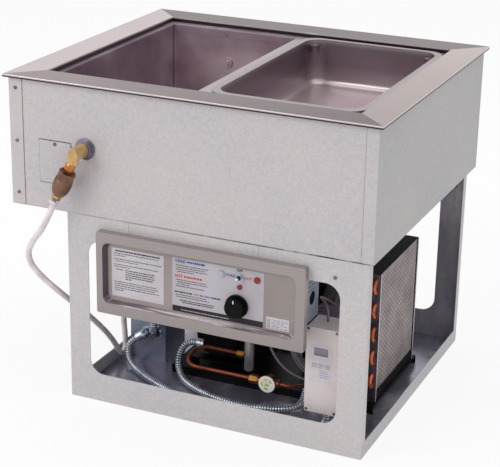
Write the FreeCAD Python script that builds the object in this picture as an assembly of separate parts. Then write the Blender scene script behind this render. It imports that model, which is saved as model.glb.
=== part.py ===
import FreeCAD, Part

import math
import os

# Drop in hot and cold food well, millimetres. X runs right along the front, Y to the back, Z up.
# The origin lies on the floor, straight under the centre of the rim.

V = FreeCAD.Vector

# Clearances and cuts used by every piece
cut_overrun = 2.0
seat_gap = 0.3
slide_gap = 0.1
bearing_gap = 0.05

# Sheet thicknesses
rim_sheet = 1.5
liner_sheet = 1.2
housing_sheet = 1.0
frame_sheet = 1.5
panel_sheet = 1.2
box_sheet = 1.0
cover_sheet = 1.0

# Rim that rests on the counter
rim_length = 806.0
rim_width = 690.0
rim_top = 686.0
rim_flange_width = 66.0
rim_lip_drop = 6.0
rim_skirt_drop = 11.0
rim_edge_round = 1.0
rim_half_x = rim_length / 2
rim_half_y = rim_width / 2
rim_under = rim_top - rim_sheet
opening_half_x = rim_half_x - rim_flange_width
opening_half_y = rim_half_y - rim_flange_width
ledge_top = rim_top - rim_skirt_drop

# Well liner with its pan ledge, and the plastic strip that keeps its cold from the rim
liner_inset_x = 15.0
liner_inset_y = 25.0
liner_depth = 175.0
liner_corner_round = 6.0
ledge_gap = 3.0
breaker_height = 8.0
breaker_reach = 9.0
breaker_lip = 8.0
liner_half_x = opening_half_x - liner_inset_x
liner_half_y = opening_half_y - liner_inset_y
liner_floor = ledge_top - liner_depth
ledge_half_x = opening_half_x - ledge_gap
ledge_half_y = opening_half_y - ledge_gap

# Trim strip under the ledge, its screws and the boss on the back wall
trim_height = 12.0
trim_drop = 2.0
trim_sheet = 0.8
trim_screw_inset = 132.0
boss_inset = 140.0
boss_z = 602.0
boss_diameter = 20.0
boss_depth = 5.0
boss_stud_diameter = 9.0
boss_stud_depth = 4.0
trim_screw_x = trim_screw_inset - liner_half_x
boss_x = boss_inset - liner_half_x

# Adaptor bar and the full size pan that hangs on it
bar_width = 32.0
bar_end_gap = 0.5
bar_leg_drop = 12.0
bar_leg_inset = 4.0
pan_end_gap = 12.5
pan_side_gap = 2.0
pan_bar_lap = 8.0
pan_flange = 12.0
pan_end_flange = 12.5
pan_sheet = 1.0
pan_lip_drop = 5.0
pan_depth = 100.0
pan_taper = 8.0
pan_corner_round = 38.0
pan_floor_round = 16.0
pan_lug_diameter = 22.0
pan_lug_height = 24.0
pan_lug_inset_share = 0.3
pan_lug_height_share = 0.6
pan_edge_share = 0.9
pan_length = 2 * (ledge_half_y - pan_end_gap)
pan_width = ledge_half_x - pan_side_gap - pan_bar_lap
pan_centre_x = ledge_half_x - pan_side_gap - pan_width / 2
pan_body_length = pan_length - 2 * pan_end_flange
pan_body_width = pan_width - 2 * pan_flange
bar_top = ledge_top + liner_sheet
pan_top = bar_top + pan_lip_drop

# Outer housing
housing_inset = 9.0
housing_bottom = 412.0
left_flange_width = 30.5
right_flange_width = 25.5
housing_screw_inset = 15.0
housing_screw_margin = 26.0
screw_head_diameter = 7.0
screw_head_height = 1.8
screw_shank_diameter = 3.6
screw_shank_length = 7.0
suction_hole_x = 120.0
suction_hole_y = 60.0
suction_hole_diameter = 40.0
cable_hole_margin = 0.6
housing_half_x = rim_half_x - housing_inset
housing_half_y = rim_half_y - housing_inset

# Access cover beside the fill port
access_inset = 67.0
access_width = 73.0
access_bottom = 469.0
access_top = 558.0
access_corner_round = 7.0
access_margin = 8.0
access_screw_drop = 6.0
access_left = access_inset - housing_half_x
access_right = access_left + access_width

# Heating element, its cover and the evaporator tube
element_diameter = 8.0
element_gap = 3.0
element_inset_x = 52.0
element_inset_y = 64.0
element_passes = 5
clamp_width = 20.0
clamp_sheet = 1.5
clamp_inset = 42.0
clamp_shares = [-0.6, 0.0, 0.6]
heater_cover_depth = 22.0
heater_cover_margin = 30.0
coil_tube_diameter = 9.5
coil_turns = 4
coil_pitch = 24.0
coil_first_z = 572.0
coil_corner_reach = 12.0
coil_wall_gap = 0.7
coil_climb_share = 0.5
coil_blend_share = 0.9
element_half_x = liner_half_x - element_inset_x
element_half_y = liner_half_y - element_inset_y
clamp_length = 2 * (liner_half_x - clamp_inset)

# Fill port, elbow, check valve and hose barb on the front
port_inset = 173.0
port_z = 552.0
port_bore = 14.0
port_pipe_diameter = 21.0
locknut_flats = 34.0
locknut_height = 6.0
port_washer_diameter = 45.0
port_washer_height = 2.0
elbow_diameter = 25.0
elbow_reach = 36.0
elbow_leg = 22.0
elbow_bend_radius = 16.0
elbow_sides = 12
fall_angle = 25.5
nipple_flats = 18.0
nipple_length = 24.0
valve_collar_flats = 34.0
valve_collar_length = 20.0
valve_neck_diameter = 30.0
valve_body_diameter = 38.0
valve_taper_length = 8.0
valve_body_length = 54.0
valve_foot_diameter = 28.0
valve_taper_lead_share = 0.5
valve_bore = 12.0
valve_chamber_diameter = 24.0
valve_chamber_length = 22.0
valve_seat_height = 16.0
poppet_height = 8.0
barb_flats = 16.0
barb_length = 12.0
hose_diameter = 12.7
clamp_band_width = 9.0
clamp_band_sheet = 1.0
clamp_screw_length = 15.0
clamp_screw_size = 8.0
clamp_screw_sink = 0.5
hose_straight = 46.0
drawn_port_x = -221.0
port_x = port_inset - housing_half_x

# Fill valve that feeds the hose, behind the control panel
fill_valve_x = -258.0
fill_valve_y = -122.0
fill_valve_z = 236.0
fill_valve_barb_length = 14.0
fill_valve_barb_diameter = 11.0
fill_valve_body = 32.0
fill_valve_coil_diameter = 34.0
fill_valve_coil_height = 44.0
fill_bracket_width = 30.0
fill_bracket_foot = 26.0

# Lower frame. It and all it carries are drawn in axes of its own, then moved to the housing
frame_left = -266.0
frame_right = 386.0
frame_front_y = -335.0
frame_side_inset = 8.0
frame_front_inset = 1.0
frame_back_inset = 40.0
frame_post_left = 47.0
frame_post_right = 56.0
frame_rail_bottom = 62.0
frame_rail_top = 52.0
frame_opening_round = 32.0
frame_return = 20.0
tray_lip = 32.0
frame_screw_x = 318.0
frame_screw_z = 374.0
frame_screw_inset = 20.0
rivet_diameter = 5.0
rivet_height = 1.2
rivet_inset = 28.0
frame_top = housing_bottom
frame_back_y = frame_front_y - frame_front_inset + 2 * housing_half_y - frame_back_inset
frame_move_x = housing_half_x - frame_side_inset - frame_right
frame_move_y = frame_front_inset - housing_half_y - frame_front_y
opening_left = frame_left + frame_post_left
opening_right = frame_right - frame_post_right
opening_bottom = frame_rail_bottom
opening_top = frame_top - frame_rail_top

# Control panel, drawn from one sheet
panel_left = -192.0
panel_right = 264.0
panel_bottom = 212.0
panel_top = 388.0
panel_stand = 16.0
panel_border_left = 14.0
panel_border_right = 20.0
panel_border_top = 21.0
panel_border_bottom = 22.0
panel_corner_round = 4.0
dish_depth = 13.0
dish_slope = 6.0
dish_round = 16.0
panel_rivet_diameter = 4.0
panel_rivet_shares = [0.5, 0.895]
panel_rivet_rise_share = 0.5
panel_face_y = frame_front_y - panel_stand
field_y = panel_face_y + dish_depth
field_back_y = field_y + panel_sheet

# Control box behind the panel
control_box_left = -168.0
control_box_right = 250.0
control_box_bottom = 251.0
control_box_top = 356.0
control_box_back = -243.0
knockout_diameter = 28.0
knockout_y = -276.0
knockout_z = 298.0
vent_front = -314.0
vent_back = -270.0
vent_bottom = 316.0
vent_top = 352.0
vent_sheet = 3.0
vent_slots = 4
vent_slot_width = 3.0
vent_slot_inset = 5.0
vent_slot_depth = 1.5
contactor_x = -60.0
contactor_width = 64.0
contactor_height = 58.0
contactor_depth = 50.0
terminal_x = 30.0
terminal_width = 60.0
terminal_height = 22.0
terminal_depth = 20.0

# Plates on the panel's field
plate_sheet = 0.5
overlay_left = -26.0
overlay_right = 173.0
overlay_bottom = 242.0
overlay_top = 358.0
instruction_left = -163.0
instruction_right = -45.0
instruction_bottom = 250.0
instruction_top = 355.0
rating_left = 179.0
rating_right = 228.0
rating_bottom = 244.0
rating_top = 269.0

# Toggle switch
toggle_x = 122.0
toggle_z = 341.0
toggle_thread_diameter = 11.8
toggle_thread_length = 9.0
toggle_nut_flats = 14.0
toggle_nut_height = 2.2
toggle_body_width = 18.0
toggle_body_height = 28.0
toggle_body_depth = 26.0
toggle_mouth_diameter = 10.0
toggle_bore = 5.0
lever_root_diameter = 2.6
lever_tip_diameter = 5.8
lever_length = 20.0
lever_ball_diameter = 4.6
lever_pin_diameter = 2.0
lever_pin_length = 9.0

# Thermostat with its knob
knob_x = 117.0
knob_z = 279.0
knob_diameter = 48.0
knob_skirt_height = 5.0
knob_grip_diameter = 40.0
knob_height = 20.0
knob_lift = 1.0
knob_edge_round = 2.0
knob_flutes = 18
knob_flute_diameter = 3.0
shaft_diameter = 6.0
shaft_depth = 22.0
bushing_diameter = 10.0
thermostat_width = 46.0
thermostat_height = 44.0
thermostat_depth = 30.0

# Pilot lights
pilot_diameter = 13.0
pilot_clear_offset = -40.0
pilot_hot_offset = 37.0
pilot_ready_diameter = 10.5
pilot_ready_drop = 21.0
pilot_lens_height = 4.0
pilot_body_inset = 1.5
pilot_body_depth = 24.0
pilot_lens_round = 1.2

# Temperature controller
controller_left = 249.0
controller_right = 318.0
controller_bottom = 63.0
controller_top = 247.0
controller_front = -300.0
controller_depth = 63.0
controller_wall = 2.5
controller_cover_depth = 20.0
controller_corner_notch = 9.0
controller_notch_depth = 3.0
controller_edge_round = 2.5
controller_screw_diameter = 6.0
cable_hole_x = 280.0
cable_hole_y = -262.0
cable_hole_diameter = 6.0
window_left = 267.0
window_right = 297.0
window_bottom = 183.0
window_top = 209.0
window_proud = 0.4
key_spacing = 13.5
key_drop = 29.5
key_size = 10.0
key_proud = 0.8
key_depth = 4.0
bracket_width = 58.0
bracket_sheet = 1.5
bracket_foot = 24.0
controller_back = controller_front + controller_depth
controller_middle_x = (controller_left + controller_right) / 2
key_middle_x = (window_left + window_right) / 2
key_z = (window_bottom + window_top) / 2 - key_drop

# Junction box and its connectors
junction_left = -245.0
junction_right = -160.0
junction_front = -110.0
junction_back = -12.0
junction_top = 134.0
junction_lip = 6.0
left_connector_x = -203.0
left_connector_z = 70.0
up_connector_x = -178.0
up_connector_z = 72.0
connector_diameter = 21.0
connector_ring = 25.0
connector_ring_length = 4.0
connector_throw = 16.0
connector_bend_radius = 12.6

# Flexible conduits: outer, root and bore diameters, and the spacing of the ribs
conduit_diameter = 15.0
conduit_root_diameter = 12.8
conduit_bore = 10.6
rib_pitch = 5.0
rib_shares = [0.10, 0.35, 0.65, 0.90]

# Condensing unit
unit_left = -125.0
unit_right = 342.0
unit_front = -145.0
unit_back = 135.0
unit_top = 20.0
unit_sheet = 2.0
compressor_x = -12.0
compressor_y = -28.0
compressor_diameter = 196.0
compressor_bottom = 32.0
compressor_top = 212.0
compressor_seam_height = 118.0
compressor_seam_width = 3.5
compressor_seam_thickness = 5.0
compressor_dome_share = 0.62
compressor_crown_drop = 14.0
compressor_foot_reach = 96.0
compressor_foot_width = 26.0
compressor_foot_sheet = 3.0
compressor_foot_share = 0.8
grommet_diameter = 20.0
terminal_cover_width = 78.0
terminal_cover_height = 66.0
terminal_cover_depth = 36.0
terminal_cover_stand = 14.0
terminal_cover_z = 96.0
terminal_cover_round = 8.0

# Condenser coil, shroud, fan and motor
coil_left = 284.0
coil_right = 338.0
coil_front = -124.0
coil_back = 118.0
coil_bottom = 43.0
coil_top = 306.0
fin_count = 40
fin_sheet = 0.5
end_plate_sheet = 1.2
end_plate_flange = 5.0
return_rows = 10
return_columns = 2
return_column_shift = 5.0
condenser_tube_diameter = 9.5
shroud_left = 240.0
shroud_sheet = 1.2
fan_hole_diameter = 216.0
fan_ring_depth = 10.0
fan_diameter = 204.0
fan_blades = 4
fan_blade_sheet = 1.5
fan_blade_pitch_angle = 26.0
fan_blade_width = 62.0
fan_hub_diameter = 40.0
fan_hub_length = 16.0
fan_gap_to_ring = 28.0
motor_diameter = 86.0
motor_length = 60.0
motor_shaft_diameter = 8.0
motor_gap = 6.0
motor_leg_width = 22.0
motor_leg_sheet = 2.5
coil_middle_y = (coil_front + coil_back) / 2
coil_middle_z = (coil_bottom + coil_top) / 2
fan_plane_x = shroud_left - fan_gap_to_ring

# Refrigerant lines, drier and sight glass
line_diameter = 8.0
line_bend_radius = 14.0
liquid_turn_x = -44.0
liquid_bend_radius = 30.0
outlet_run_y = -185.0
discharge_x = 46.0
discharge_z = 160.0
discharge_run_y = -153.0
suction_diameter = 12.7
suction_bend_radius = 26.0
suction_port_z = 195.0
suction_rise = 70.0
glass_x = 151.0
glass_y = -250.0
glass_z = 82.0
glass_dial_diameter = 36.0
glass_dial_thickness = 2.0
glass_body_diameter = 26.0
glass_body_depth = 22.0
glass_nut_flats = 17.0
glass_nut_length = 18.0
glass_arm_diameter = 16.0
glass_arm_length = 24.0
drier_x = 76.0
drier_y = -182.0
drier_diameter = 21.0
drier_bottom = 63.0
drier_top = 176.0
drier_end_length = 9.0
drier_end_diameter = 10.0
service_nut_flats = 15.0
service_nut_length = 16.0
service_arm = 6.0
service_z = 98.0

# Sensor cable hank hung behind the controller
cable_diameter = 5.2
hank_x = 262.0
hank_z = 170.0
hank_front = -226.0
hank_radius = 80.0
hank_quarters = 22
hank_first_angle = -100.0
hank_turn_step = 6.4
hank_radius_shares = [1.0, 0.89, 1.05, 0.94, 1.08, 0.97, 0.99]
hook_diameter = 8.0


def box(x0, x1, y0, y1, z0, z1):
    return Part.makeBox(x1 - x0, y1 - y0, z1 - z0, V(x0, y0, z0))


def rod(start, axis, diameter, length):
    return Part.makeCylinder(diameter / 2, length, start, axis)


def pipe(start, axis, diameter, bore, length):
    step = unit(axis) * cut_overrun
    hole = rod(start - step, axis, bore, length + cut_overrun + cut_overrun)
    return rod(start, axis, diameter, length).cut(hole)


def unit(direction):
    length = direction.Length
    return V(direction.x / length, direction.y / length, direction.z / length)


def prism(start, axis, flats, length, sides=6):
    across_corners = flats / math.cos(math.pi / sides)
    corners = []
    for step in range(sides + 1):
        turn = 2 * math.pi * (step + 0.5) / sides
        corners.append(V(across_corners / 2 * math.cos(turn), across_corners / 2 * math.sin(turn), 0))
    solid = Part.Face(Part.makePolygon(corners)).extrude(V(0, 0, length))
    return placed_along(solid, start, axis)


def placed_along(shape, start, axis):
    moved = shape.copy()
    moved.Placement = FreeCAD.Placement(start, FreeCAD.Rotation(V(0, 0, 1), axis))
    return moved


def joined(shapes):
    first = shapes[0]
    if len(shapes) > 1:
        first = first.multiFuse(shapes[1:])
    return first.removeSplitter()


def without(shape, cutters):
    return shape.cut(Part.makeCompound(cutters))


def straight_edges_along(shape, axis):
    found = []
    for edge in shape.Edges:
        run = edge.valueAt(edge.LastParameter) - edge.valueAt(edge.FirstParameter)
        if edge.Curve.TypeId == "Part::GeomLine" and abs(run.dot(axis)) > run.Length * 0.999:
            found.append(edge)
    return found


def rounded_box(x0, x1, y0, y1, z0, z1, axis, radius):
    solid = box(x0, x1, y0, y1, z0, z1)
    return solid.makeFillet(radius, straight_edges_along(solid, axis))


def ring(outer_x, outer_y, inner_x, inner_y, z0, z1):
    outer = box(-outer_x, outer_x, -outer_y, outer_y, z0, z1)
    inner = box(-inner_x, inner_x, -inner_y, inner_y, z0 - cut_overrun, z1 + cut_overrun)
    return outer.cut(inner)


def rounded_rectangle(x0, x1, z0, z1, y, radius):
    face = rounded_box(x0, x1, y, y + cut_overrun, z0, z1, V(0, 1, 0), radius)
    for piece in face.Faces:
        if abs(piece.CenterOfMass.y - y) < seat_gap:
            return piece.OuterWire


def flat_rounded_rectangle(x0, x1, y0, y1, z, radius):
    solid = rounded_box(x0, x1, y0, y1, z, z + cut_overrun, V(0, 0, 1), radius)
    for piece in solid.Faces:
        if abs(piece.CenterOfMass.z - z) < seat_gap:
            return piece.OuterWire


def route_edges(points):
    # Straight runs joined by arcs, each as large as its two runs allow
    run_share = 0.45
    edges = []
    radii = []
    start = points[0]
    for before, corner, after in zip(points, points[1:], points[2:]):
        back = unit(before - corner)
        ahead = unit(after - corner)
        turn = math.pi - back.getAngle(ahead)
        reach = run_share * min((corner - before).Length, (after - corner).Length)
        radius = reach / math.tan(turn / 2)
        radii.append(radius)
        first = corner + back * reach
        last = corner + ahead * reach
        inward = unit(back + ahead)
        middle = corner + inward * (radius / math.cos(turn / 2) - radius)
        edges.append(Part.LineSegment(start, first).toShape())
        edges.append(Part.Arc(first, middle, last).toShape())
        start = last
    edges.append(Part.LineSegment(start, points[-1]).toShape())
    return edges, radii


def swept(edges, diameter):
    wire = Part.Wire(edges)
    start = edges[0].valueAt(edges[0].FirstParameter)
    axis = edges[0].tangentAt(edges[0].FirstParameter)
    profile = Part.Wire([Part.makeCircle(diameter / 2, start, axis)])
    return wire.makePipeShell([profile], True, False)


def report_tube(name, solid, edges, diameter, radii):
    length = sum(edge.Length for edge in edges)
    share = solid.Volume / (length * math.pi * diameter * diameter / 4)
    print(name, "length", round(length, 1), "volume share", round(share, 4))
    print(name, "least radius", round(min(radii), 1))
    print(name, "radii", [round(radius) for radius in radii])


def tube(name, points, diameter):
    edges, radii = route_edges(points)
    solid = swept(edges, diameter)
    report_tube(name, solid, edges, diameter, radii)
    return solid


def ribbed_tube(name, points, steady):
    # A loft through four circles a rib, their X axes all square to the run and turned the same way
    edges, radii = route_edges(points)
    total = sum(edge.Length for edge in edges)
    straight_end = conduit_diameter
    count = int((total - 2 * straight_end) / rib_pitch)
    stations = [(0.0, conduit_root_diameter)]
    for rib in range(count):
        for share, diameter in zip(rib_shares, rib_diameters()):
            stations.append((straight_end + (rib + share) * rib_pitch, diameter))
    stations.append((total, conduit_root_diameter))
    circles = []
    for distance, diameter in stations:
        centre, axis = along(edges, distance)
        circles.append(steady_circle(centre, axis, diameter / 2, steady))
    outside = Part.makeLoft(circles, True, True)
    bore = swept(edges, conduit_bore)
    report_tube(name + " bore", bore, edges, conduit_bore, radii)
    print(name, "ribs", count, "length", round(total, 1))
    return outside.cut(bore)


def rib_diameters():
    return [conduit_root_diameter, conduit_diameter, conduit_diameter, conduit_root_diameter]


def along(edges, distance):
    left = distance
    for edge in edges:
        if left <= edge.Length or edge is edges[-1]:
            place = edge.getParameterByLength(min(left, edge.Length))
            return edge.valueAt(place), edge.tangentAt(place)
        left -= edge.Length


def steady_circle(centre, axis, radius, steady):
    across = unit(steady - axis * steady.dot(axis))
    circle = Part.Circle(centre, axis, radius)
    circle.XAxis = across
    return Part.Wire([circle.toShape()])


def biarc(start, start_way, end, end_way):
    # Two arcs that leave start along start_way and reach end along end_way
    span = end - start
    both = start_way + end_way
    spread = 2 * (1 - start_way.dot(end_way))
    along_both = span.dot(both)
    reach = (math.sqrt(along_both ** 2 + spread * span.dot(span)) - along_both) / spread
    first_corner = start + start_way * reach
    last_corner = end - end_way * reach
    middle = (first_corner + last_corner) * 0.5
    return [corner_arc(start, first_corner, middle), corner_arc(middle, last_corner, end)]


def corner_arc(start, corner, end):
    chord_middle = (start + end) * 0.5
    half_chord = (end - start).Length / 2
    rise = corner - chord_middle
    half_turn = math.atan2(rise.Length, half_chord)
    top = chord_middle + unit(rise) * (half_chord * math.tan(half_turn / 2))
    return Part.Arc(start, top, end).toShape()


def screw(start, axis):
    # The head stands out against axis, the shank goes in along it
    head = rod(start - axis * screw_head_height, axis, screw_head_diameter, screw_head_height)
    shank = rod(start, axis, screw_shank_diameter, screw_shank_length)
    return head.fuse(shank).removeSplitter()


def screw_hole(start, axis):
    return rod(start - axis * cut_overrun, axis, screw_shank_diameter, screw_shank_length + cut_overrun)


# Rim, liner and what hangs in them


def rim_flange():
    top = ring(rim_half_x, rim_half_y, opening_half_x, opening_half_y, rim_under, rim_top)
    lip = ring(rim_half_x, rim_half_y, rim_half_x - rim_sheet, rim_half_y - rim_sheet,
               rim_top - rim_lip_drop, rim_top)
    skirt = ring(opening_half_x + rim_sheet, opening_half_y + rim_sheet, opening_half_x, opening_half_y,
                 ledge_top, rim_top)
    rim = joined([top, lip, skirt])
    upper = []
    for edge in rim.Edges:
        box_of_edge = edge.BoundBox
        outer = max(abs(box_of_edge.XMax), abs(box_of_edge.XMin)) > opening_half_x + rim_sheet + seat_gap
        if box_of_edge.ZMin > rim_top - seat_gap and outer:
            upper.append(edge)
    return rim.makeFillet(rim_edge_round, upper)


def breaker_strip():
    outer_x = opening_half_x + breaker_reach
    outer_y = opening_half_y + breaker_reach
    block = ring(outer_x, outer_y, ledge_half_x, ledge_half_y, ledge_top - breaker_height, ledge_top)
    lip = ring(outer_x, outer_y, ledge_half_x - breaker_lip, ledge_half_y - breaker_lip,
               ledge_top - breaker_height, ledge_top - liner_sheet)
    return joined([block, lip])


def liner_tub(growth, top):
    tub = box(-liner_half_x - growth, liner_half_x + growth, -liner_half_y - growth,
              liner_half_y + growth, liner_floor - growth, top)
    edges = straight_edges_along(tub, V(0, 0, 1))
    for edge in tub.Edges:
        if edge.BoundBox.ZMax < liner_floor + seat_gap:
            edges.append(edge)
    return tub.makeFillet(liner_corner_round + growth, edges)


def liner_shell():
    ledge = ring(ledge_half_x, ledge_half_y, liner_half_x, liner_half_y, ledge_top - liner_sheet, ledge_top)
    tub = liner_tub(liner_sheet, ledge_top).fuse(ledge)
    shell = tub.cut(liner_tub(0.0, ledge_top + cut_overrun)).removeSplitter()
    port = rod(V(port_x, -liner_half_y + cut_overrun, port_z), V(0, -1, 0), port_bore,
               liner_sheet + cut_overrun + cut_overrun)
    return shell.cut(port)


def liner_parts(shell):
    # Welded up from a floor, four walls and four ledge strips, with bent corners between them
    far = rim_half_x
    low = liner_floor - liner_sheet - cut_overrun
    ledge = ledge_top - liner_sheet
    near_x = liner_half_x - liner_corner_round
    near_y = liner_half_y - liner_corner_round
    blocks = [box(-near_x, near_x, -near_y, near_y, low, ledge)]
    for bottom, top in ((low, ledge), (ledge, rim_top)):
        for left, right in ((-far, -near_x), (-near_x, near_x), (near_x, far)):
            blocks.append(box(left, right, -far, -near_y, bottom, top))
            blocks.append(box(left, right, near_y, far, bottom, top))
        blocks.append(box(-far, -near_x, -near_y, near_y, bottom, top))
        blocks.append(box(near_x, far, -near_y, near_y, bottom, top))
    return [solid for block in blocks for solid in shell.common(block).Solids]


def liner_trim():
    top = ledge_top - liner_sheet - trim_drop
    bottom = top - trim_height
    inner_x = liner_half_x - trim_sheet
    inner_y = liner_half_y - trim_sheet
    end_x = inner_x - liner_corner_round
    end_y = inner_y - liner_corner_round
    back = box(-end_x, end_x, inner_y, liner_half_y, bottom, top)
    front = back.mirror(V(0, 0, 0), V(0, 1, 0))
    left = box(-liner_half_x, -inner_x, -end_y, end_y, bottom, top)
    pieces = [back, front, left]
    height = (top + bottom) / 2
    for side in (-1, 1):
        face = V(trim_screw_x, side * inner_y, height)
        pieces.append(rod(face, V(0, -side, 0), screw_head_diameter, screw_head_height))
    wall = V(boss_x, liner_half_y, boss_z)
    boss = rod(wall, V(0, -1, 0), boss_diameter, boss_depth)
    stud = rod(wall - V(0, boss_depth, 0), V(0, -1, 0), boss_stud_diameter, boss_stud_depth)
    pieces.append(boss.fuse(stud).removeSplitter())
    return pieces


def well_liner():
    return Part.makeCompound(liner_parts(liner_shell()) + liner_trim())


def adaptor_bar():
    half = bar_width / 2
    end = ledge_half_y - bar_end_gap
    top = box(-half, half, -end, end, ledge_top, bar_top)
    leg_end = liner_half_y - bar_leg_inset
    left = box(-half, -half + liner_sheet, -leg_end, leg_end, ledge_top - bar_leg_drop, bar_top)
    right = left.mirror(V(0, 0, 0), V(1, 0, 0))
    bar = joined([top, left, right])
    long_edges = []
    for edge in straight_edges_along(bar, V(0, 1, 0)):
        if edge.BoundBox.ZMin > bar_top - seat_gap and abs(edge.BoundBox.Center.x) > half - seat_gap:
            long_edges.append(edge)
    return bar.makeFillet(rim_edge_round, long_edges)


def pan_tub(inset, floor, top):
    # The body narrows from its mouth to its floor
    half_x = pan_body_width / 2 - inset
    half_y = pan_body_length / 2 - inset
    mouth_round = pan_corner_round - inset
    foot_round = mouth_round - pan_taper / 2
    low_x = half_x - pan_taper
    low_y = half_y - pan_taper
    middle = pan_centre_x
    mouth = flat_rounded_rectangle(middle - half_x, middle + half_x, -half_y, half_y, top, mouth_round)
    foot = flat_rounded_rectangle(middle - low_x, middle + low_x, -low_y, low_y, floor, foot_round)
    tub = Part.makeLoft([foot, mouth], True, True)
    bottom_edges = []
    for edge in tub.Edges:
        if edge.BoundBox.ZMax < floor + seat_gap:
            bottom_edges.append(edge)
    return tub.makeFillet(pan_floor_round - inset, bottom_edges)


def food_pan():
    half_x = pan_width / 2
    half_y = pan_length / 2
    left = pan_centre_x - half_x
    right = pan_centre_x + half_x
    lip = rounded_box(left, right, -half_y, half_y, bar_top, pan_top, V(0, 0, 1), pan_corner_round)
    under = rounded_box(left + pan_sheet, right - pan_sheet, -half_y + pan_sheet, half_y - pan_sheet,
                        bar_top - cut_overrun, pan_top - pan_sheet, V(0, 0, 1), pan_corner_round - pan_sheet)
    skirt = lip.cut(under)
    top_edges = []
    for edge in skirt.Edges:
        if edge.BoundBox.ZMin > pan_top - seat_gap:
            top_edges.append(edge)
    skirt = skirt.makeFillet(pan_sheet * pan_edge_share, top_edges)
    floor = pan_top - pan_depth
    shell = skirt.fuse(pan_tub(0.0, floor, pan_top - pan_sheet))
    mouth = pan_tub(pan_sheet, floor + pan_sheet, pan_top)
    pan = shell.cut(mouth)
    opening = Part.Face(flat_rounded_rectangle(
        pan_centre_x - pan_body_width / 2 + pan_sheet, pan_centre_x + pan_body_width / 2 - pan_sheet,
        -pan_body_length / 2 + pan_sheet, pan_body_length / 2 - pan_sheet, pan_top - cut_overrun,
        pan_corner_round - pan_sheet)).extrude(V(0, 0, cut_overrun + cut_overrun))
    pan = joined([pan.cut(opening)] + pan_lugs())
    # The rolled edge is a solid of its own on the tub, so what stands under the edge clears both
    edge_zone = box(left - cut_overrun, right + cut_overrun, -half_y - cut_overrun, half_y + cut_overrun,
                    bar_top, pan_top + cut_overrun)
    return Part.makeCompound([pan.common(edge_zone), pan.cut(edge_zone)])


def pan_lugs():
    # Small pads in the four corners keep stacked pans from jamming
    pads = []
    low = pan_top - pan_lug_height
    reach_x = pan_body_width / 2 - pan_corner_round
    reach_y = pan_body_length / 2 - pan_corner_round
    corner_pipe = pan_corner_round - pan_sheet / 2
    for side_x in (-1, 1):
        for side_y in (-1, 1):
            out = unit(V(side_x, side_y, 0))
            middle = V(pan_centre_x + side_x * reach_x, side_y * reach_y, low) + out * corner_pipe
            pad = rod(middle - out * pan_lug_diameter * pan_lug_inset_share, V(0, 0, 1), pan_lug_diameter,
                      pan_lug_height * pan_lug_height_share)
            round_corner = rod(V(pan_centre_x + side_x * reach_x, side_y * reach_y, low), V(0, 0, 1),
                               corner_pipe * 2, pan_lug_height)
            pads.append(pad.common(round_corner))
    return pads


# Housing, insulation, heat and cold


def housing_side(direction, flange_width):
    web_out = direction * housing_half_x
    web_in = direction * (housing_half_x - housing_sheet)
    flange_in = direction * (housing_half_x - flange_width)
    low_x, high_x = sorted((web_out, web_in))
    web = box(low_x, high_x, -housing_half_y, housing_half_y, housing_bottom, rim_under)
    pieces = [web]
    for side in (-1, 1):
        low_y, high_y = sorted((side * housing_half_y, side * (housing_half_y - housing_sheet)))
        start, end = sorted((web_out, flange_in))
        pieces.append(box(start, end, low_y, high_y, housing_bottom, rim_under))
    return without(joined(pieces), [screw_hole(start, axis) for start, axis in housing_screw_places()])


def housing_screw_places():
    places = []
    low = housing_bottom + housing_screw_margin
    high = rim_under - housing_screw_margin
    for height in (low, (low + high) / 2, high):
        for side_x, width in ((-1, left_flange_width), (1, right_flange_width)):
            x = side_x * (housing_half_x - width + housing_screw_inset)
            places.append((V(x, housing_half_y, height), V(0, -1, 0)))
            if side_x < 0:
                places.append((V(x, -housing_half_y, height), V(0, 1, 0)))
    return places


def housing_front():
    inner_x = housing_half_x - housing_sheet
    outer_y = -housing_half_y + housing_sheet
    panel = box(-inner_x, inner_x, outer_y, outer_y + housing_sheet, housing_bottom, rim_under)
    cutters = [screw_hole(start, axis) for start, axis in housing_screw_places()]
    cutters.append(rod(V(port_x, outer_y - cut_overrun, port_z), V(0, 1, 0),
                       port_pipe_diameter + seat_gap + seat_gap, housing_sheet + cut_overrun + cut_overrun))
    cutters.append(box(access_left + access_margin, access_right - access_margin, outer_y - cut_overrun,
                       outer_y + housing_sheet + cut_overrun, access_bottom + access_margin,
                       access_top - access_margin - access_screw_drop))
    cutters.append(screw_hole(*access_screw_place()))
    return without(panel, cutters)


def housing_back():
    inner_x = housing_half_x - housing_sheet
    outer_y = housing_half_y - housing_sheet
    panel = box(-inner_x, inner_x, outer_y - housing_sheet, outer_y, housing_bottom, rim_under)
    return without(panel, [screw_hole(start, axis) for start, axis in housing_screw_places()])


def housing_base():
    inner_x = housing_half_x - housing_sheet
    inner_y = housing_half_y - housing_sheet - housing_sheet
    plate = box(-inner_x, inner_x, -inner_y, inner_y, housing_bottom, housing_bottom + housing_sheet)
    holes = base_hole_cutters(housing_sheet + cut_overrun + cut_overrun, 0.0)
    for start, axis in moved(frame_top_screw_places()):
        holes.append(screw_hole(start, axis))
    return without(plate, holes)


def frame_move():
    return V(frame_move_x, frame_move_y, 0)


def moved(places):
    return [(start + frame_move(), axis) for start, axis in places]


def base_hole_cutters(length, growth):
    # Where the suction line, the liquid line and the sensor cable pass up through the base
    cable = sensor_lead_points()[0]
    holes = [
        (suction_hole_x, suction_hole_y, suction_hole_diameter),
        (drier_x, drier_y, line_diameter + cable_hole_margin),
        (cable.x, cable.y, cable_diameter + cable_hole_margin),
    ]
    cutters = []
    for x, y, diameter in holes:
        foot = V(x, y, housing_bottom - cut_overrun) + frame_move()
        cutters.append(rod(foot, V(0, 0, 1), diameter + growth, length))
    return cutters


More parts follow.
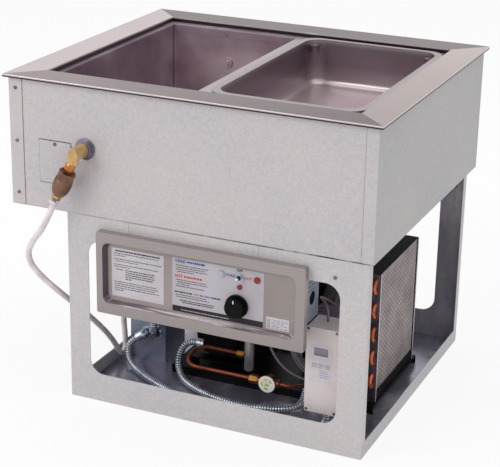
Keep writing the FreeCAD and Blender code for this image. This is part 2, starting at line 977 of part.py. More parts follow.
def access_screw_place():
    middle = (access_left + access_right) / 2
    return V(middle, -housing_half_y, access_top - access_screw_drop), V(0, 1, 0)


def access_cover():
    plate = rounded_box(access_left, access_right, -housing_half_y, -housing_half_y + housing_sheet,
                        access_bottom, access_top, V(0, 1, 0), access_corner_round)
    return plate.cut(screw_hole(*access_screw_place()))


def board_bounds():
    coil_room = liner_sheet + coil_wall_gap + coil_tube_diameter + seat_gap
    inner_x = liner_half_x + coil_room
    inner_y = liner_half_y + coil_room
    outer_x = housing_half_x - housing_sheet - seat_gap
    outer_y = housing_half_y - housing_sheet - housing_sheet - seat_gap
    top = ledge_top - breaker_height - seat_gap
    bottom = housing_bottom + housing_sheet
    return inner_x, inner_y, outer_x, outer_y, bottom, top


def insulation_boards():
    inner_x, inner_y, outer_x, outer_y, bottom, top = board_bounds()
    floor_top = heater_cover_bottom()
    floor = box(-inner_x, inner_x, -inner_y, inner_y, bottom, floor_top)
    left = box(-outer_x, -inner_x - seat_gap, -outer_y, outer_y, bottom, top)
    front = box(-inner_x, inner_x, -outer_y, -inner_y - seat_gap, bottom, top)
    boards = [floor, left, left.mirror(V(0, 0, 0), V(1, 0, 0)), front, front.mirror(V(0, 0, 0), V(0, 1, 0))]
    screw_pockets = []
    for start, axis in housing_screw_places() + moved(frame_top_screw_places()) + [access_screw_place()]:
        screw_pockets.append(rod(start - axis * cut_overrun, axis, screw_head_diameter,
                                 screw_shank_length + cut_overrun + cut_overrun))
    screw_pockets.append(rod(V(port_x, 0, port_z), V(0, -1, 0), port_pipe_diameter + seat_gap + seat_gap,
                             housing_half_y + cut_overrun))
    screw_pockets.extend(base_hole_cutters(heater_cover_bottom() - housing_bottom, cable_hole_margin))
    return Part.makeCompound([without(board, screw_pockets) for board in boards])


def heater_cover_bottom():
    return liner_floor - liner_sheet - heater_cover_depth


def element_height():
    return liner_floor - liner_sheet - element_gap - element_diameter / 2


def heating_element():
    # One rod laid to and fro under the floor, its two cold ends at the front
    height = element_height()
    spacing = 2 * element_half_x / (element_passes * 2 - 1)
    points = []
    for run in range(element_passes * 2):
        x = -element_half_x + run * spacing
        ends = [V(x, -element_half_y, height), V(x, element_half_y, height)]
        if run % 2:
            ends.reverse()
        points.extend(ends)
    rod_solid = tube("heating element", points, element_diameter)
    pieces = [rod_solid]
    for share in clamp_shares:
        y = share * element_half_y
        strip = box(-clamp_length / 2, clamp_length / 2, y - clamp_width / 2, y + clamp_width / 2,
                    height - element_diameter / 2 - clamp_sheet, height - element_diameter / 2)
        foot = box(clamp_length / 2, clamp_length / 2 + clamp_sheet, y - clamp_width / 2, y + clamp_width / 2,
                   height - element_diameter / 2 - clamp_sheet, liner_floor - liner_sheet)
        pieces.append(joined([strip, foot, foot.mirror(V(0, 0, 0), V(1, 0, 0))]))
    return Part.makeCompound(pieces + [heater_cover()])


def heater_cover():
    half_x = liner_half_x - heater_cover_margin + element_diameter
    half_y = liner_half_y - heater_cover_margin
    top = liner_floor - liner_sheet
    bottom = heater_cover_bottom()
    pan = box(-half_x, half_x, -half_y, half_y, bottom, top)
    hollow = box(-half_x + box_sheet, half_x - box_sheet, -half_y + box_sheet, half_y - box_sheet,
                 bottom + box_sheet, top + cut_overrun)
    return pan.cut(hollow)


def evaporator_coil():
    stand = liner_sheet + coil_wall_gap + coil_tube_diameter / 2
    half_x = liner_half_x + stand
    half_y = liner_half_y + stand
    corners = [(-half_x, -half_y), (half_x, -half_y), (half_x, half_y), (-half_x, half_y)]
    points = []
    for turn in range(coil_turns):
        base = coil_first_z + turn * coil_pitch
        for corner, (x, y) in enumerate(corners):
            step_x = math.copysign(coil_corner_reach, x)
            step_y = math.copysign(coil_corner_reach, y)
            if corner % 2:
                first, second = V(x - step_x, y, base), V(x, y - step_y, base)
            else:
                first, second = V(x, y - step_y, base), V(x - step_x, y, base)
            if turn or corner:
                points.append(first)
            points.append(second)
    return coil_from_corners(points, half_x, half_y)


def coil_from_corners(points, half_x, half_y):
    # Quarter bends at the corners, straight runs between, and a steady climb up the left side
    edges = []
    place = points[0]
    for target in points[1:]:
        same_x = abs(target.x - place.x) < seat_gap
        same_y = abs(target.y - place.y) < seat_gap
        if same_y:
            edges.append(Part.LineSegment(place, target).toShape())
        elif same_x and abs(target.z - place.z) < seat_gap:
            edges.append(Part.LineSegment(place, target).toShape())
        elif same_x:
            edges.extend(climb_edges(place, target))
        else:
            corner = V(math.copysign(half_x, place.x), math.copysign(half_y, place.y), place.z)
            edges.append(corner_arc(place, corner, target))
        place = target
    solid = swept(edges, coil_tube_diameter)
    report_tube("evaporator", solid, edges, coil_tube_diameter, [coil_corner_reach])
    return solid


def climb_edges(start, end):
    way = unit(V(0, end.y - start.y, 0))
    reach = way * ((end - start).Length * (1 - coil_climb_share) / 2)
    first = V(start.x, start.y, start.z) + reach
    last = V(end.x, end.y, end.z) - reach
    slope = unit(last - first)
    edges = []
    blend = reach.Length * coil_blend_share
    edges.append(Part.LineSegment(start, first - way * blend).toShape())
    edges.append(corner_arc(first - way * blend, first, first + slope * blend))
    edges.append(Part.LineSegment(first + slope * blend, last - slope * blend).toShape())
    edges.append(corner_arc(last - slope * blend, last, last + way * blend))
    edges.append(Part.LineSegment(last + way * blend, end).toShape())
    return edges


# Fill port, elbow, check valve and hose


def fall_way():
    angle = math.radians(fall_angle)
    return V(-math.sin(angle), 0, -math.cos(angle))


def elbow_centre():
    return V(port_x, -housing_half_y - elbow_reach, port_z)


def down_fall(distance):
    return elbow_centre() + fall_way() * distance


def valve_start():
    return elbow_leg + nipple_length


def barb_start():
    return valve_start() + valve_body_length


def hose_start():
    return barb_start() + barb_length


def port_fitting():
    outer = -housing_half_y + housing_sheet
    washer = pipe(V(port_x, outer, port_z), V(0, -1, 0), port_washer_diameter, port_pipe_diameter,
                  port_washer_height)
    nut_start = V(port_x, outer - port_washer_height, port_z)
    nut = prism(nut_start, V(0, -1, 0), locknut_flats, locknut_height, 8)
    nut = nut.cut(rod(nut_start + V(0, cut_overrun, 0), V(0, -1, 0), port_pipe_diameter,
                      locknut_height + cut_overrun + cut_overrun))
    pipe_start = V(port_x, -liner_half_y - liner_sheet, port_z)
    pipe_length = nut_start.y * -1 + locknut_height - liner_half_y - liner_sheet
    long_pipe = pipe(pipe_start, V(0, -1, 0), port_pipe_diameter, port_bore, pipe_length)
    return Part.makeCompound([washer, nut, long_pipe])


def elbow_edges(start, corner, end, bend_radius):
    back = unit(start - corner)
    ahead = unit(end - corner)
    reach = bend_radius * math.tan((math.pi - back.getAngle(ahead)) / 2)
    first = corner + back * reach
    last = corner + ahead * reach
    return [Part.LineSegment(start, first).toShape(), corner_arc(first, corner, last),
            Part.LineSegment(last, end).toShape()]


def fill_fittings():
    # The elbow, the nipple below it and the hose barb are separate turned pieces
    start_y = -housing_half_y + housing_sheet - port_washer_height - locknut_height
    centre = elbow_centre()
    elbow_start = V(port_x, start_y, port_z)
    edges = elbow_edges(elbow_start, centre, down_fall(elbow_leg), elbow_bend_radius)
    outline = prism(elbow_start, V(0, -1, 0), elbow_diameter, cut_overrun, elbow_sides)
    profile = [face for face in outline.Faces if abs(face.CenterOfMass.y - start_y) < seat_gap][0].OuterWire
    bar = Part.Wire(edges).makePipeShell([profile], True, False)
    elbow = bar.cut(swept(edges, port_bore))
    nipple = prism(down_fall(elbow_leg), fall_way(), nipple_flats, nipple_length)
    nipple = nipple.cut(rod(down_fall(elbow_leg - cut_overrun), fall_way(), valve_bore,
                            nipple_length + cut_overrun + cut_overrun))
    barb = prism(down_fall(barb_start()), fall_way(), barb_flats, barb_length)
    barb = barb.cut(rod(down_fall(barb_start() - cut_overrun), fall_way(), valve_bore,
                        barb_length + cut_overrun + cut_overrun))
    return Part.makeCompound([elbow, nipple, barb])


def check_valve_body():
    start = down_fall(valve_start())
    way = fall_way()
    collar = prism(start, way, valve_collar_flats, valve_collar_length)
    lead = valve_taper_length * valve_taper_lead_share
    barrel_start = start + way * (valve_collar_length - lead)
    neck = valve_neck_diameter / 2
    girth = valve_body_diameter / 2
    grow = Part.makeCone(neck, girth, valve_taper_length, barrel_start, way)
    barrel_length = valve_body_length - valve_collar_length - valve_taper_length - lead
    barrel = rod(barrel_start + way * valve_taper_length, way, valve_body_diameter, barrel_length)
    foot_start = barrel_start + way * (valve_taper_length + barrel_length)
    foot_length = valve_body_length - (foot_start - start).Length
    foot = Part.makeCone(girth, valve_foot_diameter / 2, foot_length, foot_start, way)
    core = rod(start, way, valve_foot_diameter, valve_body_length)
    body = joined([collar, grow, barrel, foot, core])
    through = rod(start - way * cut_overrun, way, valve_bore, valve_body_length + cut_overrun + cut_overrun)
    chamber_start = valve_body_length - valve_seat_height - valve_chamber_length
    chamber = rod(start + way * chamber_start, way, valve_chamber_diameter, valve_chamber_length)
    return without(body, [through, chamber])


def check_valve_poppet():
    # A hexagon between the chamber's walls, so that water passes its flats
    seat = down_fall(valve_start() + valve_body_length - valve_seat_height)
    across_corners = valve_chamber_diameter - slide_gap - slide_gap
    flats = across_corners * math.cos(math.pi / 6)
    return prism(seat, fall_way() * -1, flats, poppet_height)


def hose_clamp():
    start = down_fall(hose_start() + seat_gap)
    way = fall_way()
    band = pipe(start, way, hose_diameter + seat_gap + seat_gap + clamp_band_sheet * 2,
                hose_diameter + seat_gap + seat_gap, clamp_band_width)
    side = unit(way.cross(V(0, 1, 0)))
    stand = hose_diameter / 2 + seat_gap + clamp_band_sheet + clamp_screw_size / 2 - clamp_screw_sink
    housing_centre = start + way * (clamp_band_width / 2) - V(0, stand, 0)
    barrel = rod(housing_centre - side * (clamp_screw_length / 2), side, clamp_screw_size, clamp_screw_length)
    bore = rod(start - way * cut_overrun, way, hose_diameter + seat_gap + seat_gap,
               clamp_band_width + clamp_screw_size + cut_overrun)
    return joined([band, barrel.cut(bore)])


def hose_points():
    # The free points follow the port at their first end and the frame at their last
    start = down_fall(hose_start())
    end = V(fill_valve_x, fill_valve_y, fill_valve_z - fill_valve_barb_length) + frame_move()
    port_move = V(port_x - drawn_port_x, frame_move_y, 0)
    free = free_hose_points()
    points = [start, down_fall(hose_start() + hose_straight)]
    for index, point in enumerate(free):
        share = (index + 1) / len(free)
        points.append(point + port_move * (1 - share) + frame_move() * share)
    return points + [end]


def free_hose_points():
    return [
        V(-309, -367, 376),
        V(-333, -362, 348),
        V(-350, -357, 318),
        V(-347, -351, 289),
        V(-328, -342, 262),
        V(-303, -322, 228),
        V(-281, -286, 186),
        V(-266, -240, 137),
        V(-256, -200, 92),
        V(-253, -166, 50),
        V(-252, -147, 17),
        V(-253, -121.5, 22),
        V(-254.5, -120, 48),
        V(-257, -120.5, 84),
        V(-259, -121.5, 128),
        V(-258, -122, 174),
    ]


def fill_hose():
    return tube("fill hose", hose_points(), hose_diameter)


def fill_valve():
    base = V(fill_valve_x, fill_valve_y, fill_valve_z)
    half = fill_valve_body / 2
    barb = rod(base - V(0, 0, fill_valve_barb_length), V(0, 0, 1), fill_valve_barb_diameter,
               fill_valve_barb_length)
    body = box(base.x - half, base.x + half, base.y - half, base.y + half, base.z, base.z + fill_valve_body)
    coil = rod(base + V(0, 0, fill_valve_body), V(0, 0, 1), fill_valve_coil_diameter, fill_valve_coil_height)
    inlet = rod(base + V(0, half, half), V(0, 1, 0), port_pipe_diameter, fill_valve_body)
    valve = joined([barb, body, coil, inlet])
    back = base.y - half
    strap = box(base.x - fill_bracket_width / 2, base.x + fill_bracket_width / 2, back - bracket_sheet, back,
                base.z, housing_bottom)
    foot = box(base.x - fill_bracket_width / 2, base.x + fill_bracket_width / 2, back - bracket_sheet,
               back + fill_bracket_foot, housing_bottom - bracket_sheet, housing_bottom)
    return Part.makeCompound([valve, joined([strap, foot])])


# Lower frame


def frame_panel(face_y, inward):
    back_y = face_y + inward * frame_sheet
    low_y, high_y = sorted((face_y, back_y))
    sheet = box(frame_left, frame_right, low_y, high_y, 0, frame_top)
    opening = rounded_box(opening_left, opening_right, low_y - cut_overrun, high_y + cut_overrun,
                          opening_bottom, opening_top, V(0, 1, 0), frame_opening_round)
    deep_y = face_y + inward * frame_return
    near_y, far_y = sorted((face_y, deep_y))
    left = box(frame_left, frame_left + frame_sheet, near_y, far_y, tray_lip, frame_top)
    right = box(frame_right - frame_sheet, frame_right, near_y, far_y, tray_lip, frame_top)
    top = box(frame_left, frame_right, near_y, far_y, frame_top - frame_sheet, frame_top)
    panel = joined([sheet.cut(opening), left, right, top])
    holes = [screw_hole(start, axis) for start, axis in frame_screw_places() + frame_top_screw_places()]
    return without(panel, holes)


def frame_screw_places():
    # One screw shows above the front opening, the others hold the back panel
    places = [(V(frame_screw_x, frame_front_y, frame_screw_z), V(0, 1, 0))]
    for x in (frame_left + frame_screw_inset, frame_right - frame_screw_inset):
        places.append((V(x, frame_back_y, frame_screw_z), V(0, -1, 0)))
    return places


def frame_top_screw_places():
    places = []
    inset = frame_return / 2
    for y in (frame_front_y + inset, frame_back_y - inset):
        for x in (frame_left + frame_screw_inset * 2, frame_right - frame_screw_inset * 2):
            places.append((V(x, y, frame_top - frame_sheet), V(0, 0, 1)))
    return places


def rivet_places():
    places = []
    for x in (frame_left + rivet_inset, frame_right - rivet_inset):
        for y in (frame_front_y + rivet_inset, frame_back_y - rivet_inset):
            places.append(V(x, y, frame_sheet))
    return places


def frame_tray():
    front = frame_front_y + frame_sheet
    back = frame_back_y - frame_sheet
    floor = box(frame_left, frame_right, front, back, 0, frame_sheet)
    left = box(frame_left, frame_left + frame_sheet, front, back, 0, tray_lip)
    right = box(frame_right - frame_sheet, frame_right, front, back, 0, tray_lip)
    return joined([floor, left, right])


def sheet_screws():
    pieces = []
    for start, axis in housing_screw_places() + moved(frame_screw_places() + frame_top_screw_places()):
        pieces.append(screw(start, axis))
    pieces.append(screw(*access_screw_place()))
    for place in rivet_places():
        pieces.append(rod(place + frame_move(), V(0, 0, 1), rivet_diameter, rivet_height))
    return Part.makeCompound(pieces + controller_screws())


# Control panel and what it carries


def dish(growth, start_y, end_y):
    left = panel_left + panel_border_left - growth
    right = panel_right - panel_border_right + growth
    bottom = panel_bottom + panel_border_bottom - growth
    top = panel_top - panel_border_top + growth
    mouth = rounded_rectangle(left, right, bottom, top, start_y, dish_round + growth)
    floor = rounded_rectangle(left + dish_slope, right - dish_slope, bottom + dish_slope, top - dish_slope,
                              end_y, dish_round - dish_slope / 2 + growth)
    return Part.makeLoft([mouth, floor], True, True)


def control_panel():
    outer = rounded_box(panel_left, panel_right, panel_face_y, frame_front_y, panel_bottom, panel_top,
                        V(0, 1, 0), panel_corner_round)
    inner = rounded_box(panel_left + panel_sheet, panel_right - panel_sheet, panel_face_y + panel_sheet,
                        frame_front_y + cut_overrun, panel_bottom + panel_sheet, panel_top - panel_sheet,
                        V(0, 1, 0), panel_corner_round - panel_sheet)
    shell = outer.cut(inner).fuse(dish(panel_sheet, panel_face_y, field_back_y))
    shell = shell.cut(dish(0.0, panel_face_y, field_y)).removeSplitter()
    holes = [panel_hole(toggle_x, toggle_z, toggle_thread_diameter + slide_gap),
             panel_hole(knob_x, knob_z, bushing_diameter + slide_gap)]
    for x, z, diameter in pilot_places():
        holes.append(panel_hole(x, z, diameter - pilot_body_inset))
    return without(shell, holes)


def panel_hole(x, z, diameter):
    return rod(V(x, field_y - cut_overrun, z), V(0, 1, 0), diameter, panel_sheet + cut_overrun + cut_overrun)


def panel_rivets():
    # Two small heads on the sloping lower wall of the dish
    slope = V(0, dish_depth, dish_slope)
    way = unit(V(0, -slope.z, slope.y))
    pieces = []
    for share in panel_rivet_shares:
        x = panel_left + share * (panel_right - panel_left)
        foot = V(x, panel_face_y, panel_bottom + panel_border_bottom) + slope * panel_rivet_rise_share
        pieces.append(rod(foot, way, panel_rivet_diameter, rivet_height))
    return pieces


def control_box():
    # Spot welded from five sheets, with a vent plate on its right side
    low = control_box_bottom + box_sheet
    high = control_box_top - box_sheet
    rear = control_box_back - box_sheet
    start = control_box_left
    end = control_box_right
    back = box(start, end, rear, control_box_back, control_box_bottom, control_box_top)
    bottom = box(start, end, field_back_y, rear, control_box_bottom, low)
    top = box(start, end, field_back_y, rear, high, control_box_top)
    left = box(start, start + box_sheet, field_back_y, rear, low, high)
    right = box(end - box_sheet, end, field_back_y, rear, low, high)
    knockout = rod(V(control_box_right - cut_overrun, knockout_y, knockout_z), V(1, 0, 0), knockout_diameter,
                   cut_overrun + cut_overrun)
    right = right.cut(knockout)
    face = end + vent_sheet
    vent = box(end, face, vent_front, vent_back, vent_bottom, vent_top)
    slots = []
    pitch = (vent_top - vent_bottom) / vent_slots
    half = vent_slot_width / 2
    for index in range(vent_slots):
        middle = vent_bottom + index * pitch + pitch / 2
        slots.append(box(face - vent_slot_depth, face + cut_overrun, vent_front + vent_slot_inset,
                         vent_back - vent_slot_inset, middle - half, middle + half))
    return Part.makeCompound([back, bottom, top, left, right, without(vent, slots)])


def field_plate(left, right, bottom, top):
    return box(left, right, field_y - plate_sheet, field_y, bottom, top)


def control_overlay():
    plate = field_plate(overlay_left, overlay_right, overlay_bottom, overlay_top)
    holes = [panel_hole(toggle_x, toggle_z, toggle_thread_diameter + slide_gap),
             panel_hole(knob_x, knob_z, bushing_diameter + slide_gap)]
    for x, z, diameter in pilot_places():
        holes.append(panel_hole(x, z, diameter - pilot_body_inset))
    return without(plate, holes)


def instruction_plates():
    pieces = [field_plate(instruction_left, instruction_right, instruction_bottom, instruction_top),
              field_plate(rating_left, rating_right, rating_bottom, rating_top)]
    return Part.makeCompound(pieces + panel_rivets())


def toggle_body():
    centre = V(toggle_x, field_back_y, toggle_z)
    body = box(toggle_x - toggle_body_width / 2, toggle_x + toggle_body_width / 2, field_back_y,
               field_back_y + toggle_body_depth, toggle_z - toggle_body_height / 2,
               toggle_z + toggle_body_height / 2)
    thread = rod(centre, V(0, -1, 0), toggle_thread_diameter, toggle_thread_length)
    seat = V(toggle_x, field_y - plate_sheet, toggle_z)
    nut = prism(seat, V(0, -1, 0), toggle_nut_flats, toggle_nut_height)
    mouth = Part.makeCone(toggle_bore / 2, toggle_mouth_diameter / 2, toggle_thread_length,
                          centre, V(0, -1, 0))
    well = rod(centre + V(0, toggle_body_depth / 2, 0), V(0, -1, 0), toggle_bore + seat_gap + seat_gap,
               toggle_body_depth / 2)
    pin_hole = lever_pin(centre.y + lever_ball_diameter / 2, bearing_gap)
    return without(joined([body, thread, nut]), [mouth, well, pin_hole])


def lever_pin(y, growth):
    length = lever_pin_length + growth + growth
    foot = V(toggle_x, y, toggle_z - length / 2)
    return rod(foot, V(0, 0, 1), lever_pin_diameter + growth + growth, length)


def toggle_lever():
    pivot = V(toggle_x, field_back_y + lever_ball_diameter / 2, toggle_z)
    shaft = Part.makeCone(lever_root_diameter / 2, lever_tip_diameter / 2, lever_length, pivot, V(0, -1, 0))
    tip = Part.makeSphere(lever_tip_diameter / 2, pivot - V(0, lever_length, 0))
    ball = Part.makeSphere(lever_ball_diameter / 2, pivot)
    return joined([shaft, tip, ball, lever_pin(pivot.y, 0)])


def thermostat_body():
    body = box(knob_x - thermostat_width / 2, knob_x + thermostat_width / 2, field_back_y,
               field_back_y + thermostat_depth, knob_z - thermostat_height / 2 + seat_gap,
               knob_z + thermostat_height / 2 - seat_gap)
    front_sheets = panel_sheet + plate_sheet
    bushing = rod(V(knob_x, field_back_y, knob_z), V(0, -1, 0), bushing_diameter, front_sheets)
    bore = rod(V(knob_x, field_back_y + shaft_depth, knob_z), V(0, -1, 0),
               shaft_diameter + bearing_gap + bearing_gap, shaft_depth + front_sheets + cut_overrun)
    return joined([body, bushing]).cut(bore)


def thermostat_knob():
    base = V(knob_x, field_y - plate_sheet - knob_lift, knob_z)
    skirt = rod(base, V(0, -1, 0), knob_diameter, knob_skirt_height)
    grip = rod(base, V(0, -1, 0), knob_grip_diameter, knob_height)
    front_edges = [edge for edge in grip.Edges if edge.BoundBox.YMax < base.y - knob_height + seat_gap]
    grip = grip.makeFillet(knob_edge_round, front_edges)
    flutes = []
    for index in range(knob_flutes):
        turn = 2 * math.pi * index / knob_flutes
        foot = V(knob_x + knob_grip_diameter / 2 * math.cos(turn), base.y - knob_skirt_height,
                 knob_z + knob_grip_diameter / 2 * math.sin(turn))
        flutes.append(rod(foot, V(0, -1, 0), knob_flute_diameter, knob_height))
    grip = without(grip, flutes)
    shaft_length = knob_lift + plate_sheet + panel_sheet + shaft_depth - seat_gap
    shaft = rod(base, V(0, 1, 0), shaft_diameter, shaft_length)
    return joined([skirt, grip, shaft])


def pilot_places():
    # Clear for cold on the left of the switch, red for hot on its right, a small red one below it
    return [
        (toggle_x + pilot_clear_offset, toggle_z, pilot_diameter),
        (toggle_x + pilot_hot_offset, toggle_z, pilot_diameter),
        (toggle_x, toggle_z - pilot_ready_drop, pilot_ready_diameter),
    ]


def pilot_lights():
    pieces = []
    front = field_y - plate_sheet
    for x, z, diameter in pilot_places():
        lens = rod(V(x, front, z), V(0, -1, 0), diameter, pilot_lens_height)
        tops = [edge for edge in lens.Edges if edge.BoundBox.YMax < front - pilot_lens_height + seat_gap]
        lens = lens.makeFillet(pilot_lens_round, tops)
        body = rod(V(x, front, z), V(0, 1, 0), diameter - pilot_body_inset, pilot_body_depth)
        pieces.append(joined([lens, body]))
    return Part.makeCompound(pieces)


def contactor():
    back = control_box_back - box_sheet
    bottom = control_box_bottom + box_sheet
    relay = box(contactor_x - contactor_width / 2, contactor_x + contactor_width / 2, back - contactor_depth,
                back, bottom, bottom + contactor_height)
    block = box(terminal_x - terminal_width / 2, terminal_x + terminal_width / 2, back - terminal_depth,
                back, bottom, bottom + terminal_height)
    return Part.makeCompound([relay, block])


# Temperature controller


def controller_shell(front, back):
    return rounded_box(controller_left, controller_right, front, back, controller_bottom, controller_top,
                       V(0, 1, 0), controller_edge_round)


def controller_split():
    return controller_front + controller_cover_depth


def controller_base():
    outer = controller_shell(controller_split(), controller_back)
    inner = box(controller_left + controller_wall, controller_right - controller_wall,
                controller_split() - cut_overrun, controller_back - controller_wall,
                controller_bottom + controller_wall, controller_top - controller_wall)
    top_hole = rod(V(cable_hole_x, cable_hole_y, controller_top - controller_wall - cut_overrun), V(0, 0, 1),
                   cable_hole_diameter, controller_wall + cut_overrun + cut_overrun)
    bottom_hole = rod(V(*controller_entry_place()) - V(0, 0, cut_overrun), V(0, 0, 1), conduit_diameter,
                      controller_wall + cut_overrun + cut_overrun)
    return without(outer, [inner, top_hole, bottom_hole])


def controller_entry_place():
    return controller_middle_x, cable_hole_y, controller_bottom


def controller_screw_places():
    inset = controller_corner_notch / 2
    places = []
    for x in (controller_left + inset, controller_right - inset):
        for z in (controller_bottom + inset, controller_top - inset):
            places.append((x, z))
    return places


def controller_cover():
    outer = controller_shell(controller_front, controller_split())
    inner = box(controller_left + controller_wall, controller_right - controller_wall,
                controller_front + controller_wall, controller_split() + cut_overrun,
                controller_bottom + controller_wall, controller_top - controller_wall)
    pillars = []
    cutters = []
    for x, z in controller_screw_places():
        half = controller_corner_notch / 2
        pillars.append(box(x - half, x + half, controller_front, controller_split(), z - half, z + half))
        recess = controller_screw_diameter + seat_gap + seat_gap
        cutters.append(rod(V(x, controller_front - cut_overrun, z), V(0, 1, 0), recess,
                           controller_notch_depth + cut_overrun))
    shell = joined([outer.cut(inner)] + pillars).common(outer)
    for place in (-1, 0, 1):
        cutters.append(key_block(key_middle_x + place * key_spacing, controller_front - cut_overrun,
                                 controller_front + controller_wall + cut_overrun, seat_gap))
    cutters.append(box(window_left, window_right, controller_front - cut_overrun,
                       controller_front + controller_wall + cut_overrun, window_bottom, window_top))
    return without(shell, cutters)


def key_block(x, front, back, growth):
    half = key_size / 2 + growth
    return box(x - half, x + half, front, back, key_z - half, key_z + half)


def controller_key(place):
    x = key_middle_x + place * key_spacing
    front = controller_front - key_proud
    face = key_block(x, front, controller_front + controller_wall + seat_gap, 0.0)
    collar = key_block(x, controller_front + controller_wall + seat_gap,
                       controller_front + controller_wall + seat_gap + key_depth, cover_sheet)
    return joined([face, collar])


def controller_display():
    return box(window_left, window_right, controller_front - window_proud, controller_front + controller_wall,
               window_bottom, window_top)


def controller_screws():
    heads = []
    for x, z in controller_screw_places():
        foot = V(x, controller_front + controller_notch_depth, z) + frame_move()
        heads.append(rod(foot, V(0, -1, 0), controller_screw_diameter, screw_head_height))
    return heads


def controller_bracket():
    half = bracket_width / 2
    left = controller_middle_x - half
    right = controller_middle_x + half
    upright = box(left, right, controller_back, controller_back + bracket_sheet, frame_sheet, controller_top)
    foot = box(left, right, controller_back, controller_back + bracket_foot, frame_sheet,
               frame_sheet + bracket_sheet)
    hook = rod(V(hank_x, controller_back, hook_height()), V(0, 1, 0), hook_diameter, hook_length())
    return joined([upright, foot, hook])


def hook_height():
    # Just under the innermost of the loops at their tops
    first_top = (90 - hank_first_angle) / 360
    tops = [hank_share(first_top + turn) for turn in range(int(hank_quarters / 4))]
    inner = hank_radius * min(tops) - cable_diameter / 2
    return hank_z + inner - hook_diameter / 2 - seat_gap


def hook_length():
    return hank_front - controller_back + hank_quarters / 4 * hank_turn_step + cable_diameter


# Junction box and conduits


def junction_box():
    outer = box(junction_left, junction_right, junction_front + cover_sheet, junction_back, frame_sheet,
                junction_top)
    inner = box(junction_left + box_sheet, junction_right - box_sheet, junction_front - cut_overrun,
                junction_back - box_sheet, frame_sheet + box_sheet, junction_top - box_sheet)
    cover = box(junction_left, junction_right, junction_front, junction_front + cover_sheet, frame_sheet,
                junction_top)
    lip = box(junction_right, junction_right + cover_sheet, junction_front, junction_front + junction_lip,
              frame_sheet, junction_top)
    entries = []
    for seat, way, _ in angled_connectors():
        entries.append(rod(seat - way * cut_overrun, way, conduit_bore, cut_overrun + cut_overrun))
    return Part.makeCompound([outer.cut(inner), without(joined([cover, lip]), entries)])


def angled_connectors():
    # The seat and way out on the junction box, then the conduit point that each one turns towards
    return [
        (V(left_connector_x, junction_front, left_connector_z), V(0, -1, 0), conduit_a_points()[0]),
        (V(up_connector_x, junction_front, up_connector_z), V(0, -1, 0), conduit_c_points()[0]),
    ]


def straight_connectors():
    guard_side = compressor_x - terminal_cover_width / 2
    return [
        (V(*controller_entry_place()), V(0, 0, -1)),
        (V(guard_side, conduit_b_points()[0].y, conduit_b_points()[0].z), V(-1, 0, 0)),
        (V(shroud_left, conduit_b_points()[-1].y, conduit_b_points()[-1].z), V(-1, 0, 0)),
        (V(conduit_c_points()[-1].x, control_box_back, conduit_c_points()[-1].z), V(0, 1, 0)),
    ]


def conduit_connectors():
    pieces = []
    for seat, way, start in angled_connectors():
        edges = elbow_edges(seat, seat + way * connector_throw, start, connector_bend_radius)
        locknut = rod(seat, way, connector_ring, connector_ring_length)
        pieces.append(joined([locknut, swept(edges, connector_diameter)]).cut(swept(edges, conduit_bore)))
    for seat, way in straight_connectors():
        locknut = rod(seat, way, connector_ring, connector_ring_length)
        barrel = rod(seat, way, connector_diameter, connector_throw)
        bore = rod(seat - way * cut_overrun, way, conduit_bore, connector_throw + cut_overrun + cut_overrun)
        pieces.append(joined([locknut, barrel]).cut(bore))
    return Part.makeCompound(pieces)


def conduit_a_points():
    return [
        V(-217, -132, 60),
        V(-229.6, -137.4, 51),
        V(-233, -146, 36),
        V(-226, -158, 20),
        V(-208, -172, 11),
        V(-176, -195, 9),
        V(-138, -218, 9),
        V(-97, -238, 9),
        V(-50, -255, 9),
        V(0, -268, 9),
        V(52, -277, 9),
        V(104, -280, 9),
        V(156, -277, 9),
        V(204, -269, 9),
        V(243, -262, 9),
        V(270, -260.5, 12),
        V(controller_middle_x, cable_hole_y, 27),
        V(controller_middle_x, cable_hole_y, controller_bottom - connector_throw),
    ]


def conduit_b_points():
    return [
        V(compressor_x - terminal_cover_width / 2 - connector_throw, -132, 78),
        V(-84, -132, 78),
        V(-99, -138, 68),
        V(-104, -150, 50),
        V(-101, -163, 32),
        V(-91, -174, 18),
        V(-76, -186, 10.5),
        V(-55, -200, 9),
        V(-28, -215, 9),
        V(4, -228, 9),
        V(42, -237, 9),
        V(84, -240, 9),
        V(126, -235, 9),
        V(162, -224, 9),
        V(187, -208, 9.5),
        V(199, -190, 14),
        V(199, -170, 25),
        V(194, -150, 39),
        V(193, -132, 51),
        V(200, -117, 58),
        V(212, -110, 60),
        V(shroud_left - connector_throw, -110, 60),
    ]


def conduit_c_points():
    return [
        V(-178, -128, 92),
        V(-178, -129.6, 108),
        V(-177, -136, 134),
        V(-173, -146, 166),
        V(-166, -158, 200),
        V(-158, -170, 234),
        V(-151, -182, 264),
        V(-147, -195, 288),
        V(-146, -211, 300),
        V(-146, control_box_back + connector_throw, 300),
    ]


# Condensing unit


def unit_base():
    top = box(unit_left, unit_right, unit_front, unit_back, unit_top - unit_sheet, unit_top)
    pieces = [top]
    for low, high in ((unit_front, unit_front + unit_sheet), (unit_back - unit_sheet, unit_back)):
        pieces.append(box(unit_left, unit_right, low, high, frame_sheet, unit_top))
    base = joined(pieces)
    grommets = []
    for x, y in compressor_feet_places():
        grommets.append(rod(V(x, y, unit_top), V(0, 0, 1), grommet_diameter, compressor_bottom - unit_top))
    return Part.makeCompound([base] + grommets)


def compressor_feet_places():
    places = []
    for side_x in (-1, 1):
        for side_y in (-1, 1):
            reach = compressor_foot_reach * compressor_foot_share
            places.append((compressor_x + side_x * reach, compressor_y + side_y * reach))
    return places


